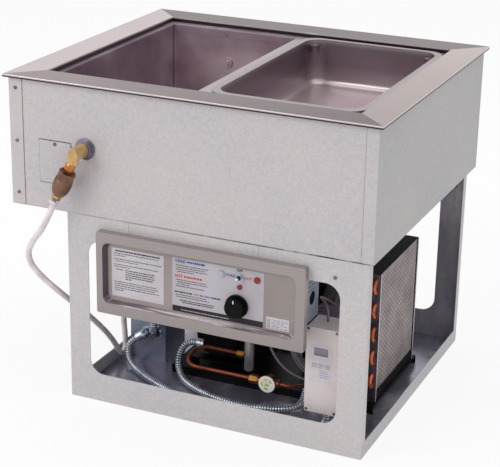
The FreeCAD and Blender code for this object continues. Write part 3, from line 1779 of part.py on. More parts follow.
def compressor_dome():
    radius = compressor_diameter / 2
    flat = radius * compressor_dome_share
    knee = radius - flat
    seam = radius + compressor_seam_width
    low_seam = compressor_seam_height - compressor_seam_thickness / 2
    high_seam = compressor_seam_height + compressor_seam_thickness / 2
    foot = V(0, 0, compressor_bottom)
    low_flat = V(flat, 0, compressor_bottom)
    low_knee = V(radius, 0, compressor_bottom + knee)
    high_knee = V(radius, 0, compressor_top - compressor_crown_drop - knee)
    high_flat = V(flat, 0, compressor_top - compressor_crown_drop)
    crown = V(0, 0, compressor_top)
    walls = [low_knee, V(radius, 0, low_seam), V(seam, 0, low_seam), V(seam, 0, high_seam),
             V(radius, 0, high_seam), high_knee]
    edges = [Part.LineSegment(foot, low_flat).toShape(),
             corner_arc(low_flat, V(radius, 0, compressor_bottom), low_knee)]
    for start, end in zip(walls, walls[1:]):
        edges.append(Part.LineSegment(start, end).toShape())
    edges.append(corner_arc(high_knee, V(radius, 0, high_flat.z), high_flat))
    crown_radius = (flat ** 2 + compressor_crown_drop ** 2) / (compressor_crown_drop * 2)
    crown_fall = crown_radius - math.sqrt(crown_radius ** 2 - flat ** 2 / 4)
    crown_middle = V(flat / 2, 0, compressor_top - crown_fall)
    edges.append(Part.Arc(high_flat, crown_middle, crown).toShape())
    edges.append(Part.LineSegment(crown, foot).toShape())
    dome = Part.Face(Part.Wire(edges)).revolve(V(0, 0, 0), V(0, 0, 1), 360)
    dome.translate(V(compressor_x, compressor_y, 0))
    return dome


def compressor_shell():
    feet = []
    half = compressor_foot_width / 2
    for x, y in compressor_feet_places():
        feet.append(box(min(x - half, compressor_x), max(x + half, compressor_x), y - half, y + half,
                        compressor_bottom, compressor_bottom + compressor_foot_sheet))
    shell = joined([compressor_dome()] + feet)
    front = compressor_y - compressor_diameter / 2
    half_width = terminal_cover_width / 2
    half_height = terminal_cover_height / 2
    guard = rounded_box(compressor_x - half_width, compressor_x + half_width, front - terminal_cover_stand,
                        front + terminal_cover_depth, terminal_cover_z - half_height,
                        terminal_cover_z + half_height, V(0, 1, 0), terminal_cover_round)
    return Part.makeCompound([shell, guard.cut(shell)])


def tube_places():
    rows = []
    depth = (coil_right - coil_left) / return_columns
    pitch = (coil_top - coil_bottom) / return_rows
    for column in range(return_columns):
        for row in range(return_rows):
            x = coil_left + depth * (column + 0.5) + return_column_shift
            z = coil_bottom + pitch * (row + 0.5)
            rows.append((x, z, column, row))
    return rows


def condenser_fins():
    outline = box(coil_left, coil_right, coil_front, coil_front + fin_sheet, coil_bottom, coil_top)
    holes = []
    for x, z, _, _ in tube_places():
        holes.append(rod(V(x, coil_front - cut_overrun, z), V(0, 1, 0), condenser_tube_diameter,
                         fin_sheet + cut_overrun + cut_overrun))
    fin = without(outline, holes)
    pitch = (coil_back - coil_front - end_plate_sheet * 2) / (fin_count + 1)
    fins = []
    for index in range(fin_count):
        copy = fin.copy()
        copy.translate(V(0, end_plate_sheet + pitch * (index + 1) - fin_sheet / 2, 0))
        fins.append(copy)
    return Part.makeCompound(fins)


def condenser_tubes():
    # Straight tubes through the fins, joined in pairs by half round bends at both ends
    pieces = []
    pitch = (coil_top - coil_bottom) / return_rows
    stub = end_plate_sheet
    for column in range(return_columns):
        column_tubes = [(x, z) for x, z, number, _ in tube_places() if number == column]
        runs = [rod(V(x, coil_front - stub, z), V(0, 1, 0), condenser_tube_diameter,
                    coil_back - coil_front + stub + stub) for x, z in column_tubes]
        for row in range(return_rows - 1):
            x, z = column_tubes[row]
            front = row % 2 != column % 2
            y = coil_front - stub if front else coil_back + stub
            away = -1 if front else 1
            bend = Part.makeTorus(pitch / 2, condenser_tube_diameter / 2, V(x, y, z + pitch / 2), V(1, 0, 0))
            keep_low, keep_high = sorted((y, y + away * pitch))
            keep = box(x - pitch, x + pitch, keep_low, keep_high, z - pitch, z + pitch + pitch)
            runs.append(bend.common(keep))
        pieces.append(joined(runs))
    return Part.makeCompound(pieces)


def condenser_plates():
    # End plates carry the tubes and their flanges frame the coil's outer face
    holes = []
    for x, z, _, _ in tube_places():
        holes.append(rod(V(x, coil_front - cut_overrun, z), V(0, 1, 0), condenser_tube_diameter,
                         coil_back - coil_front + cut_overrun + cut_overrun))
    pieces = []
    for outer, inward in ((coil_front, 1), (coil_back, -1)):
        low, high = sorted((outer, outer + inward * end_plate_sheet))
        plate = box(shroud_left + shroud_sheet, coil_right, low, high, unit_top, coil_top)
        low, high = sorted((outer, outer + inward * end_plate_flange))
        flange = box(coil_right, coil_right + end_plate_sheet, low, high, unit_top, coil_top)
        pieces.append(without(joined([plate, flange]), holes))
    return Part.makeCompound(pieces)


def fan_shroud():
    sheet = box(shroud_left, shroud_left + shroud_sheet, coil_front, coil_back, unit_top, coil_top)
    top = box(shroud_left, coil_right, coil_front, coil_back, coil_top, coil_top + shroud_sheet)
    bottom = box(shroud_left + shroud_sheet, coil_right, coil_front + end_plate_sheet,
                 coil_back - end_plate_sheet, unit_top, coil_bottom)
    bottom = bottom.cut(box(shroud_left, coil_right - shroud_sheet, coil_front, coil_back,
                            unit_top + shroud_sheet, coil_bottom - shroud_sheet))
    centre = V(shroud_left - fan_ring_depth, coil_middle_y, coil_middle_z)
    venturi = rod(centre, V(1, 0, 0), fan_hole_diameter + shroud_sheet * 2, fan_ring_depth + shroud_sheet)
    hole = rod(centre - V(cut_overrun, 0, 0), V(1, 0, 0), fan_hole_diameter,
               fan_ring_depth + shroud_sheet + cut_overrun * 2)
    return joined([sheet, top, bottom, venturi]).cut(hole)


def fan_blade():
    centre = V(fan_plane_x - fan_hub_length / 2, coil_middle_y, coil_middle_z)
    hub = rod(centre, V(1, 0, 0), fan_hub_diameter, fan_hub_length)
    pieces = [hub]
    blade_length = fan_diameter / 2 - fan_hub_diameter / 4
    blade = box(-fan_blade_sheet / 2, fan_blade_sheet / 2, -fan_blade_width / 2, fan_blade_width / 2,
                fan_hub_diameter / 4, fan_hub_diameter / 4 + blade_length)
    blade = blade.makeFillet(fan_blade_width / 4, [edge for edge in straight_edges_along(blade, V(1, 0, 0))
                                                   if edge.BoundBox.ZMin > fan_hub_diameter])
    blade.rotate(V(0, 0, 0), V(0, 0, 1), fan_blade_pitch_angle)
    reach = rod(V(-fan_diameter, 0, 0), V(1, 0, 0), fan_diameter, fan_diameter * 2)
    blade = blade.common(reach)
    middle = centre + V(fan_hub_length / 2, 0, 0)
    for index in range(fan_blades):
        copy = blade.copy()
        copy.rotate(V(0, 0, 0), V(1, 0, 0), 360 * index / fan_blades)
        copy.translate(middle)
        pieces.append(copy)
    fan = joined(pieces)
    bore = rod(centre - V(cut_overrun, 0, 0), V(1, 0, 0), motor_shaft_diameter + bearing_gap + bearing_gap,
               fan_hub_length * 2)
    return fan.cut(bore)


def fan_motor():
    hub_back = fan_plane_x - fan_hub_length / 2
    front = hub_back - motor_gap - fan_blade_width / 4
    middle = V(front - motor_length, coil_middle_y, coil_middle_z)
    can = rod(middle, V(1, 0, 0), motor_diameter, motor_length)
    shaft_end = fan_plane_x + fan_hub_length / 2
    shaft = rod(middle, V(1, 0, 0), motor_shaft_diameter, motor_length + shaft_end - front)
    leg_x = middle.x + motor_length / 2
    leg = box(leg_x - motor_leg_width / 2, leg_x + motor_leg_width / 2, coil_middle_y - motor_diameter / 2,
              coil_middle_y + motor_diameter / 2, unit_top, unit_top + motor_leg_sheet)
    posts = []
    for side in (-1, 1):
        low, high = sorted((coil_middle_y + side * motor_diameter / 2,
                            coil_middle_y + side * (motor_diameter / 2 - motor_leg_sheet)))
        posts.append(box(leg_x - motor_leg_width / 2, leg_x + motor_leg_width / 2, low, high, unit_top,
                         coil_middle_z))
    return joined([can, shaft, leg] + posts)


def glass_inlet():
    return V(glass_x - glass_arm_length - glass_nut_length, glass_y, glass_z)


def service_arm_end():
    return V(drier_x - drier_diameter / 2 - service_nut_length - service_arm, drier_y, service_z)


def bent_tube(name, points, diameter, bend_radius):
    # Straight runs with the same bend at each corner
    edges = []
    start = points[0]
    for before, corner, after in zip(points, points[1:], points[2:]):
        back = unit(before - corner)
        ahead = unit(after - corner)
        turn = math.pi - back.getAngle(ahead)
        reach = bend_radius * math.tan(turn / 2)
        edges.append(Part.LineSegment(start, corner + back * reach).toShape())
        edges.append(corner_arc(corner + back * reach, corner, corner + ahead * reach))
        start = corner + ahead * reach
    edges.append(Part.LineSegment(start, points[-1]).toShape())
    solid = swept(edges, diameter)
    report_tube(name, solid, edges, diameter, [bend_radius])
    return solid


def compressor_wall_y(x):
    # Front of the shell at this x
    across = x - compressor_x
    return compressor_y - math.sqrt(compressor_diameter ** 2 / 4 - across ** 2)


def copper_lines():
    condenser_x = tube_places()[0][0]
    low_z = tube_places()[0][1]
    high_z = tube_places()[return_rows - 1][1]
    plate_y = coil_front - end_plate_sheet
    liquid = [
        glass_inlet(),
        V(liquid_turn_x, glass_y, glass_z),
        V(liquid_turn_x, drier_y, service_z),
        service_arm_end(),
    ]
    outlet_x = glass_x + glass_arm_length
    turn_x = outlet_x + line_bend_radius + line_bend_radius
    outlet = [
        V(outlet_x, glass_y, glass_z),
        V(turn_x, glass_y, glass_z),
        V(turn_x, outlet_run_y, low_z),
        V(condenser_x, outlet_run_y, low_z),
        V(condenser_x, plate_y, low_z),
    ]
    discharge = [
        V(discharge_x, compressor_wall_y(discharge_x), discharge_z),
        V(discharge_x, discharge_run_y, discharge_z),
        V(discharge_x, discharge_run_y, high_z),
        V(condenser_x, discharge_run_y, high_z),
        V(condenser_x, plate_y, high_z),
    ]
    crown = compressor_y + compressor_diameter / 4
    suction = [
        V(compressor_x, crown, suction_port_z),
        V(compressor_x, crown, suction_port_z + suction_rise),
        V(suction_hole_x, suction_hole_y, suction_port_z + suction_rise),
        V(suction_hole_x, suction_hole_y, housing_bottom + housing_sheet),
    ]
    drier_end = V(drier_x, drier_y, drier_top + drier_end_length)
    solids = [rod(drier_end, V(0, 0, 1), line_diameter, housing_bottom + housing_sheet - drier_end.z)]
    solids.append(bent_tube("liquid line", liquid, line_diameter, liquid_bend_radius))
    solids.append(bent_tube("glass outlet", outlet, line_diameter, line_bend_radius))
    hot_line = bent_tube("discharge line", discharge, line_diameter, line_bend_radius)
    cold_line = bent_tube("suction line", suction, suction_diameter, suction_bend_radius)
    solids.append(hot_line.cut(compressor_dome()))
    solids.append(cold_line.cut(compressor_dome()))
    return Part.makeCompound(solids)


def filter_drier():
    base = V(drier_x, drier_y, drier_bottom)
    can = rod(base, V(0, 0, 1), drier_diameter, drier_top - drier_bottom)
    ends = [edge for edge in can.Edges if edge.Curve.TypeId == "Part::GeomCircle"]
    can = can.makeFillet(drier_diameter / 4, ends)
    stub = rod(V(drier_x, drier_y, drier_top - cut_overrun), V(0, 0, 1), drier_end_diameter,
               drier_end_length + cut_overrun)
    return joined([can, stub])


def line_fittings():
    nut = prism(glass_inlet(), V(1, 0, 0), glass_nut_flats, glass_nut_length)
    arms = rod(V(glass_x - glass_arm_length, glass_y, glass_z), V(1, 0, 0), glass_arm_diameter,
               glass_arm_length * 2)
    body = rod(V(glass_x, glass_y + glass_body_depth / 2, glass_z), V(0, -1, 0), glass_body_diameter,
               glass_body_depth)
    glass = joined([nut, arms, body])
    side = V(drier_x - drier_diameter / 2, drier_y, service_z)
    valve = prism(side, V(-1, 0, 0), service_nut_flats, service_nut_length)
    arm = rod(side - V(service_nut_length, 0, 0), V(-1, 0, 0), glass_arm_diameter / 2, service_arm)
    return Part.makeCompound([glass, joined([valve, arm])])


def sight_glass_dial():
    face = V(glass_x, glass_y - glass_body_depth / 2, glass_z)
    dial = rod(face, V(0, -1, 0), glass_dial_diameter, glass_dial_thickness)
    return dial


def sensor_lead_points():
    # Down from the housing's base to the foot of the hank
    return [
        V(128, -229, housing_bottom + housing_sheet),
        V(127, -229.5, 372),
        V(125, -230.5, 330),
        V(123, -231, 288),
        V(124, -231.5, 246),
        V(129, -231.5, 206),
        V(138, -231.5, 168),
        V(153, -231.5, 134),
        V(177, -231, 109),
        V(210, -230, 95),
    ]


def sensor_tail_points():
    # From the top of the hank, over the controller and down into its hole
    return [
        V(258, -189, 257),
        V(245, -194, 265),
        V(242, -208, 272),
        V(249, -225, 278),
        V(261, -241, 281),
        V(272, -254, 277),
        V(cable_hole_x - 1, cable_hole_y + 1, 265),
        V(cable_hole_x, cable_hole_y, controller_top - controller_wall),
    ]


def hank_share(place):
    low = int(place)
    part = place - low
    return hank_radius_shares[low] * (1 - part) + hank_radius_shares[low + 1] * part


def hank_loop(step):
    # Loops of unlike size side by side, each quarter turn a little further back
    turn = math.radians(hank_first_angle) + step * math.pi / 2
    place = step / 4
    radius = hank_radius * hank_share(place)
    climb = hank_turn_step / (2 * math.pi)
    point = V(hank_x + radius * math.cos(turn), hank_front + place * hank_turn_step,
              hank_z + radius * math.sin(turn))
    return point, unit(V(-math.sin(turn) * radius, climb, math.cos(turn) * radius))


def lead_ways(points):
    ways = []
    for before, after in zip(points, points[2:]):
        ways.append(unit(after - before))
    return ways


def sensor_cable():
    loops = [hank_loop(step) for step in range(hank_quarters + 1)]
    lead = sensor_lead_points()
    tail = sensor_tail_points()
    points = lead + [point for point, _ in loops] + tail
    ways = [V(0, 0, -1)] + lead_ways(lead + [loops[0][0]]) + [way for _, way in loops]
    ways += lead_ways([loops[-1][0]] + tail) + [V(0, 0, -1)]
    edges = []
    for start, start_way, end, end_way in zip(points, ways, points[1:], ways[1:]):
        edges.extend(biarc(start, start_way, end, end_way))
    radii = [edge.Curve.Radius for edge in edges]
    solid = swept(edges, cable_diameter)
    report_tube("sensor cable", solid, edges, cable_diameter, radii)
    print("sensor cable least gap to itself", round(least_self_gap(edges), 2))
    print("sensor cable gap to its hook", round(solid.distToShape(controller_bracket())[0], 2))
    return solid


def least_self_gap(edges):
    samples = []
    for edge in edges:
        samples.extend(edge.discretize(9)[:-1])
    spacing = sum(edge.Length for edge in edges) / len(samples)
    skip = int(math.pi * cable_diameter * 2 / spacing)
    least = hank_radius
    for first in range(len(samples)):
        for second in range(first + skip, len(samples)):
            least = min(least, (samples[first] - samples[second]).Length)
    return least - cable_diameter


housing_pieces = {
    "rim_flange": rim_flange,
    "breaker_strip": breaker_strip,
    "well_liner": well_liner,
    "adaptor_bar": adaptor_bar,
    "food_pan": food_pan,
    "insulation_boards": insulation_boards,
    "evaporator_coil": evaporator_coil,
    "heating_element": heating_element,
    "housing_front": housing_front,
    "housing_back": housing_back,
    "housing_left": lambda: housing_side(-1, left_flange_width),
    "housing_right": lambda: housing_side(1, right_flange_width),
    "housing_base": housing_base,
    "access_cover": access_cover,
    "sheet_screws": sheet_screws,
    "port_fitting": port_fitting,
    "fill_fittings": fill_fittings,
    "check_valve_body": check_valve_body,
    "check_valve_poppet": check_valve_poppet,
    "hose_clamp": hose_clamp,
    "fill_hose": fill_hose,
}
frame_pieces = {
    "fill_valve": fill_valve,
    "frame_front": lambda: frame_panel(frame_front_y, 1),
    "frame_back": lambda: frame_panel(frame_back_y, -1),
    "frame_tray": frame_tray,
    "control_panel": control_panel,
    "control_box": control_box,
    "control_overlay": control_overlay,
    "instruction_plates": instruction_plates,
    "toggle_body": toggle_body,
    "toggle_lever": toggle_lever,
    "thermostat_body": thermostat_body,
    "thermostat_knob": thermostat_knob,
    "pilot_lights": pilot_lights,
    "contactor": contactor,
    "controller_base": controller_base,
    "controller_cover": controller_cover,
    "controller_display": controller_display,
    "controller_key_1": lambda: controller_key(-1),
    "controller_key_2": lambda: controller_key(0),
    "controller_key_3": lambda: controller_key(1),
    "controller_bracket": controller_bracket,
    "junction_box": junction_box,
    "conduit_connectors": conduit_connectors,
    "conduit_left": lambda: ribbed_tube("conduit left", conduit_a_points(), V(0.3, 0.2, 1)),
    "conduit_right": lambda: ribbed_tube("conduit right", conduit_b_points(), V(0.2, 1, -0.5)),
    "conduit_up": lambda: ribbed_tube("conduit up", conduit_c_points(), V(1, 0, 0)),
    "unit_base": unit_base,
    "compressor_shell": compressor_shell,
    "condenser_fins": condenser_fins,
    "condenser_tubes": condenser_tubes,
    "condenser_plates": condenser_plates,
    "fan_shroud": fan_shroud,
    "fan_blade": fan_blade,
    "fan_motor": fan_motor,
    "copper_lines": copper_lines,
    "filter_drier": filter_drier,
    "line_fittings": line_fittings,
    "sight_glass_dial": sight_glass_dial,
    "sensor_cable": sensor_cable,
}

os.makedirs("parts", exist_ok=True)
for name, make in list(housing_pieces.items()) + list(frame_pieces.items()):
    shape = make()
    if name in frame_pieces:
        shape.translate(frame_move())
    print(name, "solids", len(shape.Solids), "valid", shape.isValid(), "volume", round(shape.Volume))
    shape.exportStep("parts/" + name + ".step")
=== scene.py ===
import math
import random

import bmesh
import bpy
from mathutils import Matrix, Vector


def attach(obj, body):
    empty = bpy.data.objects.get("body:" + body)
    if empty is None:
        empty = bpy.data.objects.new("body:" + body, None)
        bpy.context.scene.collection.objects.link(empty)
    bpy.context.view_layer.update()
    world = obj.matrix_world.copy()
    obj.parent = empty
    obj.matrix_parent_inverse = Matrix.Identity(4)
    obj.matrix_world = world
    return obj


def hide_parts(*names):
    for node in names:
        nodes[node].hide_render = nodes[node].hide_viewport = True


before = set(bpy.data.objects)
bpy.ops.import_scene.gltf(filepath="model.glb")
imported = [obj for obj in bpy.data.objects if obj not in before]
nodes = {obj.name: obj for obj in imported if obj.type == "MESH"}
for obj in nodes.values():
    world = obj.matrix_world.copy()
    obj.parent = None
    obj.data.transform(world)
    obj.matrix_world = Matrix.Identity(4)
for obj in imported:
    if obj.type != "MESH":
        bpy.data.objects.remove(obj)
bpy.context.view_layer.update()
print("frame loaded with", len(nodes), "nodes")


# colours as they look on a screen, 0 to 255
def tone(red, green, blue):
    linear = []
    for value in (red, green, blue):
        share = value / 255
        linear.append(share / 12.92 if share <= 0.04045 else ((share + 0.055) / 1.055) ** 2.4)
    return (*linear, 1.0)


# camera, fitted to the rim, housing and frame corners of the photograph
cameraLook = {
    "eye": (1.25135, -2.85114, 1.46556),
    "right": (0.91203, 0.40978, 0.01692),
    "down": (0.15843, -0.31396, -0.93612),
    "ahead": (-0.37829, 0.85645, -0.35126),
    "lens": 109.95,
    "sensor": 36.0,
}


def makeCamera(look):
    data = bpy.data.cameras.new("camera")
    data.lens = look["lens"]
    data.sensor_width = look["sensor"]
    data.clip_start = 0.05
    data.clip_end = 60
    camera = bpy.data.objects.new("camera", data)
    bpy.context.scene.collection.objects.link(camera)
    turn = Matrix((look["right"], [-v for v in look["down"]], [-v for v in look["ahead"]])).transposed()
    camera.location = look["eye"]
    camera.rotation_mode = "QUATERNION"
    camera.rotation_quaternion = turn.to_quaternion()
    bpy.context.scene.camera = camera


makeCamera(cameraLook)
print("camera set")


# cords: routes in metres, the same points as the solids follow
hoseRoute = [
    (-0.26922, -0.372, 0.45091), (-0.28902, -0.372, 0.40939), (-0.309, -0.367, 0.376), (-0.333, -0.362, 0.348),
    (-0.350, -0.357, 0.318), (-0.347, -0.351, 0.289), (-0.328, -0.342, 0.262), (-0.303, -0.322, 0.228),
    (-0.281, -0.286, 0.186), (-0.266, -0.240, 0.137), (-0.256, -0.200, 0.092), (-0.253, -0.166, 0.050),
    (-0.252, -0.147, 0.017), (-0.253, -0.1215, 0.022), (-0.2545, -0.120, 0.048), (-0.257, -0.1205, 0.084),
    (-0.259, -0.1215, 0.128), (-0.258, -0.122, 0.174), (-0.258, -0.122, 0.222),
]
leftConduitRoute = [
    (-0.217, -0.132, 0.060), (-0.2296, -0.1374, 0.051), (-0.233, -0.146, 0.036), (-0.226, -0.158, 0.020),
    (-0.208, -0.172, 0.011), (-0.176, -0.195, 0.009), (-0.138, -0.218, 0.009), (-0.097, -0.238, 0.009),
    (-0.050, -0.255, 0.009), (0.0, -0.268, 0.009), (0.052, -0.277, 0.009), (0.104, -0.280, 0.009),
    (0.156, -0.277, 0.009), (0.204, -0.269, 0.009), (0.243, -0.262, 0.009), (0.270, -0.2605, 0.012),
    (0.2835, -0.262, 0.027), (0.2835, -0.262, 0.047),
]
rightConduitRoute = [
    (-0.067, -0.132, 0.078), (-0.084, -0.132, 0.078), (-0.099, -0.138, 0.068), (-0.104, -0.150, 0.050),
    (-0.101, -0.163, 0.032), (-0.091, -0.174, 0.018), (-0.076, -0.186, 0.0105), (-0.055, -0.200, 0.009),
    (-0.028, -0.215, 0.009), (0.004, -0.228, 0.009), (0.042, -0.237, 0.009), (0.084, -0.240, 0.009),
    (0.126, -0.235, 0.009), (0.162, -0.224, 0.009), (0.187, -0.208, 0.0095), (0.199, -0.190, 0.014),
    (0.199, -0.170, 0.025), (0.194, -0.150, 0.039), (0.193, -0.132, 0.051), (0.200, -0.117, 0.058),
    (0.212, -0.110, 0.060), (0.224, -0.110, 0.060),
]
upConduitRoute = [
    (-0.178, -0.128, 0.092), (-0.178, -0.1296, 0.108), (-0.177, -0.136, 0.134), (-0.173, -0.146, 0.166),
    (-0.166, -0.158, 0.200), (-0.158, -0.170, 0.234), (-0.151, -0.182, 0.264), (-0.147, -0.195, 0.288),
    (-0.146, -0.211, 0.300), (-0.146, -0.227, 0.300),
]
sensorLead = [
    (0.128, -0.229, 0.413), (0.127, -0.2295, 0.372), (0.125, -0.2305, 0.330), (0.123, -0.231, 0.288),
    (0.124, -0.2315, 0.246), (0.129, -0.2315, 0.206), (0.138, -0.2315, 0.168), (0.153, -0.2315, 0.134),
    (0.177, -0.231, 0.109), (0.210, -0.230, 0.095),
]
sensorTail = [
    (0.258, -0.189, 0.257), (0.245, -0.194, 0.265), (0.242, -0.208, 0.272), (0.249, -0.225, 0.278),
    (0.261, -0.241, 0.281), (0.272, -0.254, 0.277), (0.279, -0.261, 0.265), (0.280, -0.262, 0.2445),
]
hank = {
    "middle": (0.262, -0.226, 0.170),
    "radius": 0.080,
    "turnStep": 0.0064,
    "firstAngle": -100.0,
    "turns": 5.5,
    "pointsPerTurn": 16,
    "radiusShares": [1.0, 0.89, 1.05, 0.94, 1.08, 0.97, 0.99],
}


def hankPoints(look):
    points = []
    count = int(look["turns"] * look["pointsPerTurn"])
    x, y, z = look["middle"]
    for step in range(count + 1):
        place = step / look["pointsPerTurn"]
        low = int(place)
        part = place - low
        share = look["radiusShares"][low] * (1 - part) + look["radiusShares"][low + 1] * part
        reach = look["radius"] * share / math.cos(math.pi / look["pointsPerTurn"]) ** 0.5
        turn = math.radians(look["firstAngle"]) + 2 * math.pi * place
        points.append((x + reach * math.cos(turn), y + place * look["turnStep"], z + reach * math.sin(turn)))
    return points


def routeCurve(name, points):
    data = bpy.data.curves.new(name, "CURVE")
    data.dimensions = "3D"
    data.resolution_u = 8
    spline = data.splines.new("NURBS")
    spline.points.add(len(points) - 1)
    for point, place in zip(spline.points, points):
        point.co = (*place, 1.0)
    spline.order_u = 3
    spline.use_endpoint_u = True
    piece = bpy.data.objects.new(name, data)
    bpy.context.scene.collection.objects.link(piece)
    return piece


def roundCord(name, points, diameter, body):
    piece = routeCurve(name, points)
    for point in piece.data.splines[0].points:
        point.radius = diameter / 2
    piece.data.bevel_depth = 1.0
    piece.data.bevel_resolution = 5
    piece.data.use_fill_caps = True
    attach(piece, body)
    return piece


def splinePoints(name, points):
    # the smooth line of the route, read from its own spline
    guide = routeCurve(name + "Guide", points)
    bpy.context.view_layer.update()
    line = bpy.data.meshes.new_from_object(guide.evaluated_get(bpy.context.evaluated_depsgraph_get()))
    places = [vertex.co.copy() for vertex in line.vertices]
    bpy.data.objects.remove(guide)
    return places


def evenStations(places, spacing):
    lengths = [0.0]
    for a, b in zip(places, places[1:]):
        lengths.append(lengths[-1] + (b - a).length)
    total = lengths[-1]
    count = max(2, round(total / spacing))
    stations = []
    at = 0
    for index in range(count + 1):
        wanted = total * index / count
        while at < len(lengths) - 2 and lengths[at + 1] < wanted:
            at += 1
        share = (wanted - lengths[at]) / max(lengths[at + 1] - lengths[at], 1e-9)
        stations.append(places[at].lerp(places[at + 1], min(max(share, 0.0), 1.0)))
    return stations, total


def ribbedCord(name, points, look, body):
    # rounded ribs along the route, one ring of vertices at each station
    places = splinePoints(name, points)
    stations, total = evenStations(places, look["ribPitch"] / look["stationsPerRib"])
    mesh = bmesh.new()
    uvLayer = mesh.loops.layers.uv.new("along")
    side = Vector(look["firstSide"])
    rings = []
    for index, place in enumerate(stations):
        ahead = (stations[min(index + 1, len(stations) - 1)] - stations[max(index - 1, 0)]).normalized()
        side = (side - ahead * side.dot(ahead)).normalized()
        other = ahead.cross(side)
        phase = index / look["stationsPerRib"] * 2 * math.pi
        rise = (0.5 - 0.5 * math.cos(phase)) ** look["crownShare"]
        radius = look["rootRadius"] + (look["ribRadius"] - look["rootRadius"]) * rise
        ring = []
        for corner in range(look["sides"]):
            turn = 2 * math.pi * corner / look["sides"]
            ring.append(mesh.verts.new(place + (side * math.cos(turn) + other * math.sin(turn)) * radius))
        rings.append(ring)
    for index, (first, second) in enumerate(zip(rings, rings[1:])):
        for corner in range(look["sides"]):
            nextCorner = (corner + 1) % look["sides"]
            face = mesh.faces.new((first[corner], first[nextCorner], second[nextCorner], second[corner]))
            face.smooth = True
            for loop, (u, v) in zip(face.loops, ((0, 0), (1, 0), (1, 1), (0, 1))):
                loop[uvLayer].uv = ((corner + u) / look["sides"], (index + v) / look["stationsPerRib"])
    for ring in (rings[0], rings[-1]):
        mesh.faces.new(ring)
    bmesh.ops.recalc_face_normals(mesh, faces=mesh.faces)
    data = bpy.data.meshes.new(name)
    mesh.to_mesh(data)
    mesh.free()
    piece = bpy.data.objects.new(name, data)
    bpy.context.scene.collection.objects.link(piece)
    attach(piece, body)
    return piece, stations, total


conduitLook = {
    "ribPitch": 0.0056,
    "stationsPerRib": 6,
    "rootRadius": 0.0062,
    "ribRadius": 0.0075,
    "crownShare": 0.7,
    "sides": 20,
    "firstSide": (0.31, 0.42, 0.85),
}

fillHose = roundCord("fillHose", hoseRoute, 0.0127, "well")
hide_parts("fill_hose")

sensorRoute = sensorLead + hankPoints(hank) + sensorTail
sensorCable = roundCord("sensorCable", sensorRoute, 0.0052, "well")
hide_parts("sensor_cable")

conduits = {}
for name, node, route in (("leftConduit", "conduit_left", leftConduitRoute),
                          ("rightConduit", "conduit_right", rightConduitRoute),
                          ("upConduit", "conduit_up", upConduitRoute)):
    piece, stations, total = ribbedCord(name, route, conduitLook, "well")
    conduits[name] = piece
    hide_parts(node)
    print(name, "is", round(total, 3), "m long")
print("cords made")


# meshes: small helpers used by the pieces below
def putPiece(name, mesh, body, replaced=(), smooth=False):
    bmesh.ops.recalc_face_normals(mesh, faces=mesh.faces)
    data = bpy.data.meshes.new(name)
    mesh.to_mesh(data)
    mesh.free()
    for face in data.polygons:
        face.use_smooth = smooth
    piece = bpy.data.objects.new(name, data)
    bpy.context.scene.collection.objects.link(piece)
    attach(piece, body)
    if replaced:
        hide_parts(*replaced)
    return piece


def addBox(mesh, low, high):
    middle = [(a + b) / 2 for a, b in zip(low, high)]
    size = [b - a for a, b in zip(low, high)]
    place = Matrix.Translation(middle) @ Matrix.Diagonal((*size, 1))
    return bmesh.ops.create_cube(mesh, size=1.0, matrix=place)["verts"]


def joinInto(mesh, part, place):
    bmesh.ops.transform(part, matrix=place, verts=part.verts)
    data = bpy.data.meshes.new("part")
    part.to_mesh(data)
    part.free()
    mesh.from_mesh(data)
    bpy.data.meshes.remove(data)


def addTurned(mesh, profile, place, steps=48):
    # profile: pairs of distance along the axis and radius; the axis is the local z of place
    part = bmesh.new()
    points = [part.verts.new((radius, 0, distance)) for distance, radius in profile]
    edges = [part.edges.new(pair) for pair in zip(points, points[1:])]
    bmesh.ops.spin(part, geom=points + edges, axis=(0, 0, 1), cent=(0, 0, 0), angle=2 * math.pi, steps=steps,
                   use_merge=True)
    bmesh.ops.remove_doubles(part, verts=part.verts, dist=1e-6)
    joinInto(mesh, part, place)


def addPrism(mesh, sides, radius, start, end, place, squeeze=1.0, soften=0.0, farRadius=None):
    # a prism along the local z of place, with its edges softened
    part = bmesh.new()
    bmesh.ops.create_cone(part, cap_ends=True, segments=sides, radius1=radius,
                          radius2=radius if farRadius is None else farRadius, depth=end - start,
                          matrix=Matrix.Rotation(math.pi / sides, 4, "Z"))
    bmesh.ops.bevel(part, geom=part.edges[:], offset=soften, offset_type="OFFSET", segments=2, profile=0.5,
                    affect="EDGES", material=-1)
    middle = Matrix.Translation((0, 0, (start + end) / 2)) @ Matrix.Diagonal((squeeze, 1, 1, 1))
    joinInto(mesh, part, place @ middle)


def along(start, direction, up=(0, 1, 0)):
    # a place whose local z runs along direction
    ahead = Vector(direction).normalized()
    side = Vector(up).cross(ahead).normalized()
    other = ahead.cross(side)
    turn = Matrix((side, other, ahead)).transposed().to_4x4()
    return Matrix.Translation(start) @ turn


